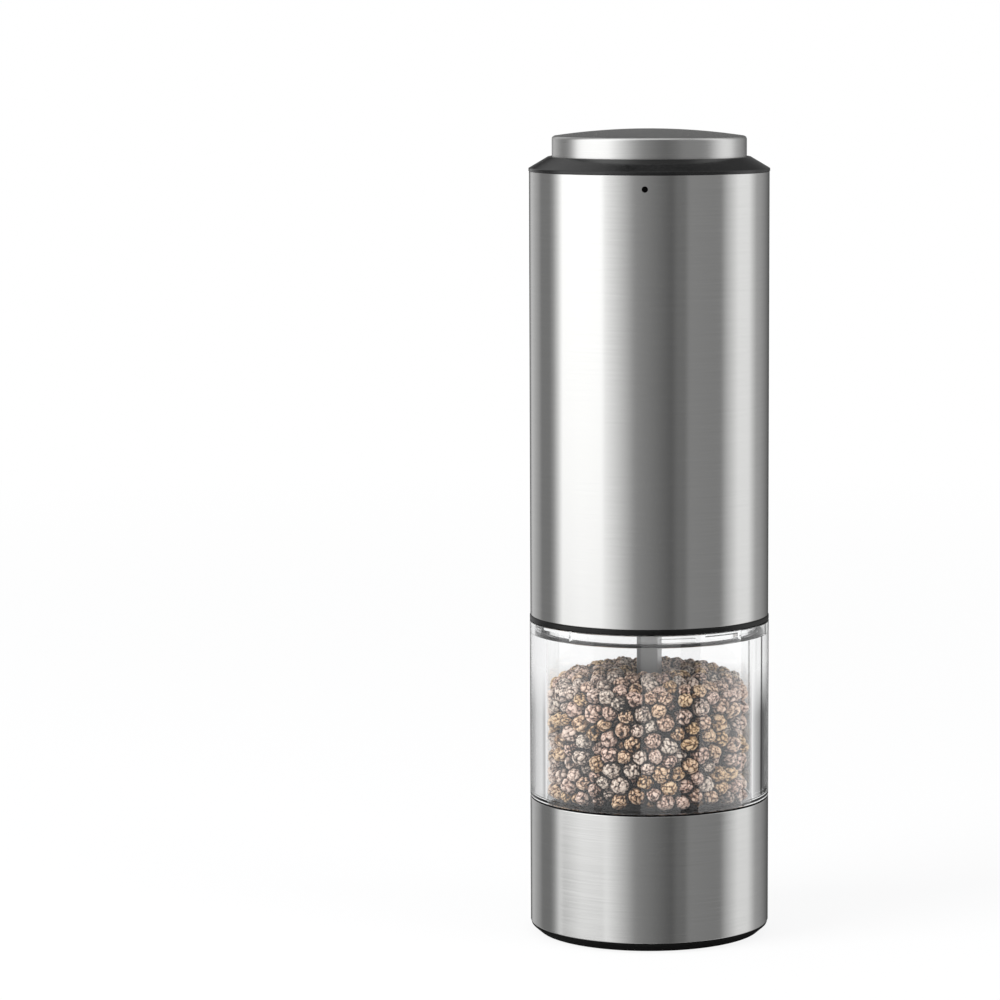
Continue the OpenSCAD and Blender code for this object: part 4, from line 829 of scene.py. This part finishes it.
# Panels that the steel reflects: where each starts and ends, its brightness at both ends and, for
# some, the share of it that the low part has at both ends. Between panels they are blended.
PANELS = [
    (-168, -158, 0.04, 0.46), (-154, -131, 0.60, 0.33), (-126, -110, 0.21, 0.21),
    (-104, -97, 0.36, 0.80), (-91, -69, 1.40, 1.40, 0.31, 0.52),
    (-68, -46, 1.40, 1.40, 0.52, 0.46), (-42, -14, 1.05, 0.32),
    (-12, 21, 0.29, 0.12), (27, 34, 0.18, 0.18), (38, 72, 0.27, 0.24),
    (79, 90, 0.50, 0.80), (94, 110, 0.92, 0.92), (118, 124, 0.62, 0.42), (133, 161, 0.36, 0.11)]
PANEL_R = 1.6
BEHIND = 172                            # from here on round, the panels show what is behind
CARD_LEVEL, CEILING_LEVEL = 0.04, 0.15  # behind the mill: a dark card, and a grey ceiling above
LOW_SHARE, FOOT_FADE = 0.88, 0.85


def panel_level(direction, behind=CARD_LEVEL):
    at = [-BEHIND] + [a for p in PANELS for a in p[:2]] + [BEHIND]
    level = [behind] + [v for p in PANELS for v in p[2:4]] + [behind]
    return float(np.interp(direction, at, level))


def ceiling_level(direction):
    return panel_level(direction, CEILING_LEVEL)


def low_level(direction):
    at = [a for p in PANELS for a in p[:2]]
    share = [s for p in PANELS for s in (p[4:] or (LOW_SHARE, LOW_SHARE))]
    return panel_level(direction) * float(np.interp(direction, at, share))


def foot_level(direction):
    return low_level(direction) * FOOT_FADE


PANEL_ROWS = [(-12.0, foot_level), (-1.4, foot_level), (-0.25, low_level), (-0.18, panel_level),
              (0.02, panel_level), (0.2, ceiling_level), (4.5, ceiling_level)]


def from_camera_side(direction, distance):
    """x and y at a distance from the mill's axis, in a direction counted from the camera's."""
    a = math.radians(direction + CAM_AZ)
    return distance * math.sin(a), -distance * math.cos(a)


def card(name, radius, start, end, rows):
    """A glowing strip of wall round the mill, in steps of about a degree. rows gives its heights
    from the floor up, with the brightness by direction at each."""
    verts, levels, faces = [], [], []
    steps = round(end - start)
    for k in range(steps + 1):
        direction = start + (end - start) * k / steps
        x, y = from_camera_side(direction, radius / MM)
        for z, level in rows:
            verts.append((x, y, z / MM))
            levels.append(level(direction))
    n = len(rows)
    for k in range(steps):
        for j in range(n - 1):
            faces.append((k * n + j, k * n + j + 1, (k + 1) * n + j + 1, (k + 1) * n + j))
    obj = mesh_object(name, verts, faces)
    obj.data.attributes.new("level", "FLOAT", "POINT").data.foreach_set("value", levels)
    g = material_graph(name + "_light")
    obj.data.materials.append(g.show(g.node("Emission", {"Strength": g.attribute("level")})))
    obj.visible_camera = False
    obj.visible_diffuse = False
    obj.visible_shadow = False
    return obj


panels = card("reflection_panels", PANEL_R, -180, 180, PANEL_ROWS)
panels.visible_transmission = False

# Low cards behind the mill that only the jar's wall shows, as (direction, brightness), fading to
# white at their top, and a taller strip for the dark line down the wall's right.
FLAG = [
    (-180, 0.9), (-172, 0.9), (-170, 0.05), (-166, 0.08), (-160, 0.25), (-154, 0.5), (-150, 0.8),
    (-133, 0.8), (-128, 0.45), (-124, 0.9), (124, 0.9), (127, 0.65), (133, 0.5), (142, 0.33),
    (144, 0.05), (148, 0.05), (150, 0.14), (153, 0.10), (155, 0.0), (169, 0.0), (171, 0.9),
    (180, 0.9)]
FLAG_R, STRIP_R, STRIP_LEVEL = 0.2, 0.199, 0.02
CARD_FOOT, FLAG_FADE, FLAG_TOP, STRIP_TOP = -0.0001, 0.026, 0.041, 0.06


def flag_level(direction):
    return float(np.interp(direction, *zip(*FLAG)))


def plain_white(direction):
    return 1.0


def strip_level(direction):
    return STRIP_LEVEL


FLAG_ROWS = [(CARD_FOOT, flag_level), (FLAG_FADE, flag_level), (FLAG_TOP, plain_white)]
STRIP_ROWS = [(CARD_FOOT, strip_level), (STRIP_TOP, strip_level)]
for shape in (("jar_flag_left", FLAG_R, -180, -124, FLAG_ROWS),
              ("jar_flag_right", FLAG_R, 124, 180, FLAG_ROWS),
              ("jar_strip", STRIP_R, 143.5, 148.0, STRIP_ROWS)):
    card(*shape).visible_glossy = False


# ---- Stage: floor and background ----

FLOOR_HALF, FLOOR_Z = 6000, -0.2        # millimetres, as for every mesh
# By the mill this share of the floor's look is plain white, and the rest is paint, which holds the
# mill's shadow. The share grows to the whole at this distance.
FLOOR_SHARE, FLOOR_FADE = 0.87, 1.1
floor = mesh_object("floor", [(x * FLOOR_HALF, y * FLOOR_HALF, FLOOR_Z)
                              for x, y in ((-1, -1), (1, -1), (1, 1), (-1, 1))], [(0, 1, 2, 3)])
g = material_graph("floor_paint")
rays = g.node("LightPath").outputs
seen_plain = g.calc("MAXIMUM", rays["Is Camera Ray"], rays["Is Transmission Ray"])
scaled = g.node("Mapping", {"Vector": g.place()}, {"Scale": (1 / FLOOR_FADE,) * 3}).outputs[0]
nearness = g.node("TexGradient", {"Vector": scaled}, gradient_type="SPHERICAL").outputs["Fac"]
share = g.calc("MULTIPLY", seen_plain, g.remap(nearness, 1.0, FLOOR_SHARE, 0.0, 0.8))
paint = g.node("BsdfDiffuse", values={"Color": (*grey(0.93), 1)})
glow = g.node("Emission", values={"Color": (1, 1, 1, 1), "Strength": 1.0})
floor.data.materials.append(g.show(g.node("MixShader", {
    "Fac": share, 1: paint.outputs[0], 2: glow.outputs[0]})))
floor.visible_glossy = False

world = bpy.data.worlds.new("studio")
bpy.context.scene.world = world
g = Graph(world, "OutputWorld")
rays = g.node("LightPath").outputs
seen_white = g.calc("MAXIMUM", g.calc("MAXIMUM", rays["Is Camera Ray"], rays["Is Glossy Ray"]),
                    rays["Is Transmission Ray"])
soft = g.node("Background", values={"Color": (0.96, 0.97, 1.0, 1), "Strength": 0.62})
white = g.node("Background", values={"Color": (1, 1, 1, 1), "Strength": 1.0})
g.show(g.node("MixShader", {"Fac": seen_white, 1: soft.outputs[0], 2: white.outputs[0]}))


# ---- Stage: lamps and camera ----

LAMP_AIM = 0.10         # height on the mill that the lamps point at
# Strip lights that only the clear jar mirrors: direction, width and brightness.
JAR_LIGHTS = [(11, 1.00, 1.5), (11, 0.66, 1.4), (74, 1.78, 2.2), (-75, 1.1, 1.0)]
JAR_LIGHT_Z, JAR_LIGHT_D, JAR_LIGHT_H = -0.2, 1.45, 0.7


def softbox(name, direction, height, distance, size, power):
    light = bpy.data.lights.new(name, "AREA")
    light.shape = "RECTANGLE"
    light.size, light.size_y = size
    light.energy = power
    lamp = link(bpy.data.objects.new(name, light))
    lamp.location = (*from_camera_side(direction, distance), height)
    aim = Vector((0, 0, LAMP_AIM)) - lamp.location
    lamp.rotation_euler = aim.to_track_quat("-Z", "Y").to_euler()
    lamp.visible_glossy = False
    lamp.visible_transmission = False
    return lamp


softbox("key", -58, 0.75, 1.1, (0.7, 1.2), 15.0)
softbox("fill", 62, 0.55, 1.3, (0.8, 1.2), 8.0)

jar_only = bpy.data.collections.new("jar_only")
jar_only.objects.link(jar)
for i, (direction, width, level) in enumerate(JAR_LIGHTS):
    strip = softbox(f"jar_light_{i + 1}", direction, JAR_LIGHT_Z, JAR_LIGHT_D,
                    (width, JAR_LIGHT_H), level * math.pi * width * JAR_LIGHT_H)
    strip.visible_glossy = True
    strip.visible_camera = False
    strip.light_linking.receiver_collection = jar_only

# The camera was fitted to the ellipses that the mill shows in the photograph.
camera = bpy.data.cameras.new("camera")
camera.lens = 145.36
camera.sensor_width = 36
camera.shift_x = -0.1493
camera.clip_start, camera.clip_end = 0.05, 20
cam = link(bpy.data.objects.new("camera", camera))
cam.location = (*from_camera_side(0, CAM_D), CAM_H)
cam.rotation_euler = (math.radians(90 - CAM_TILT), 0, math.radians(CAM_AZ))
bpy.context.scene.camera = cam
bpy.context.scene.view_settings.view_transform = "Standard"
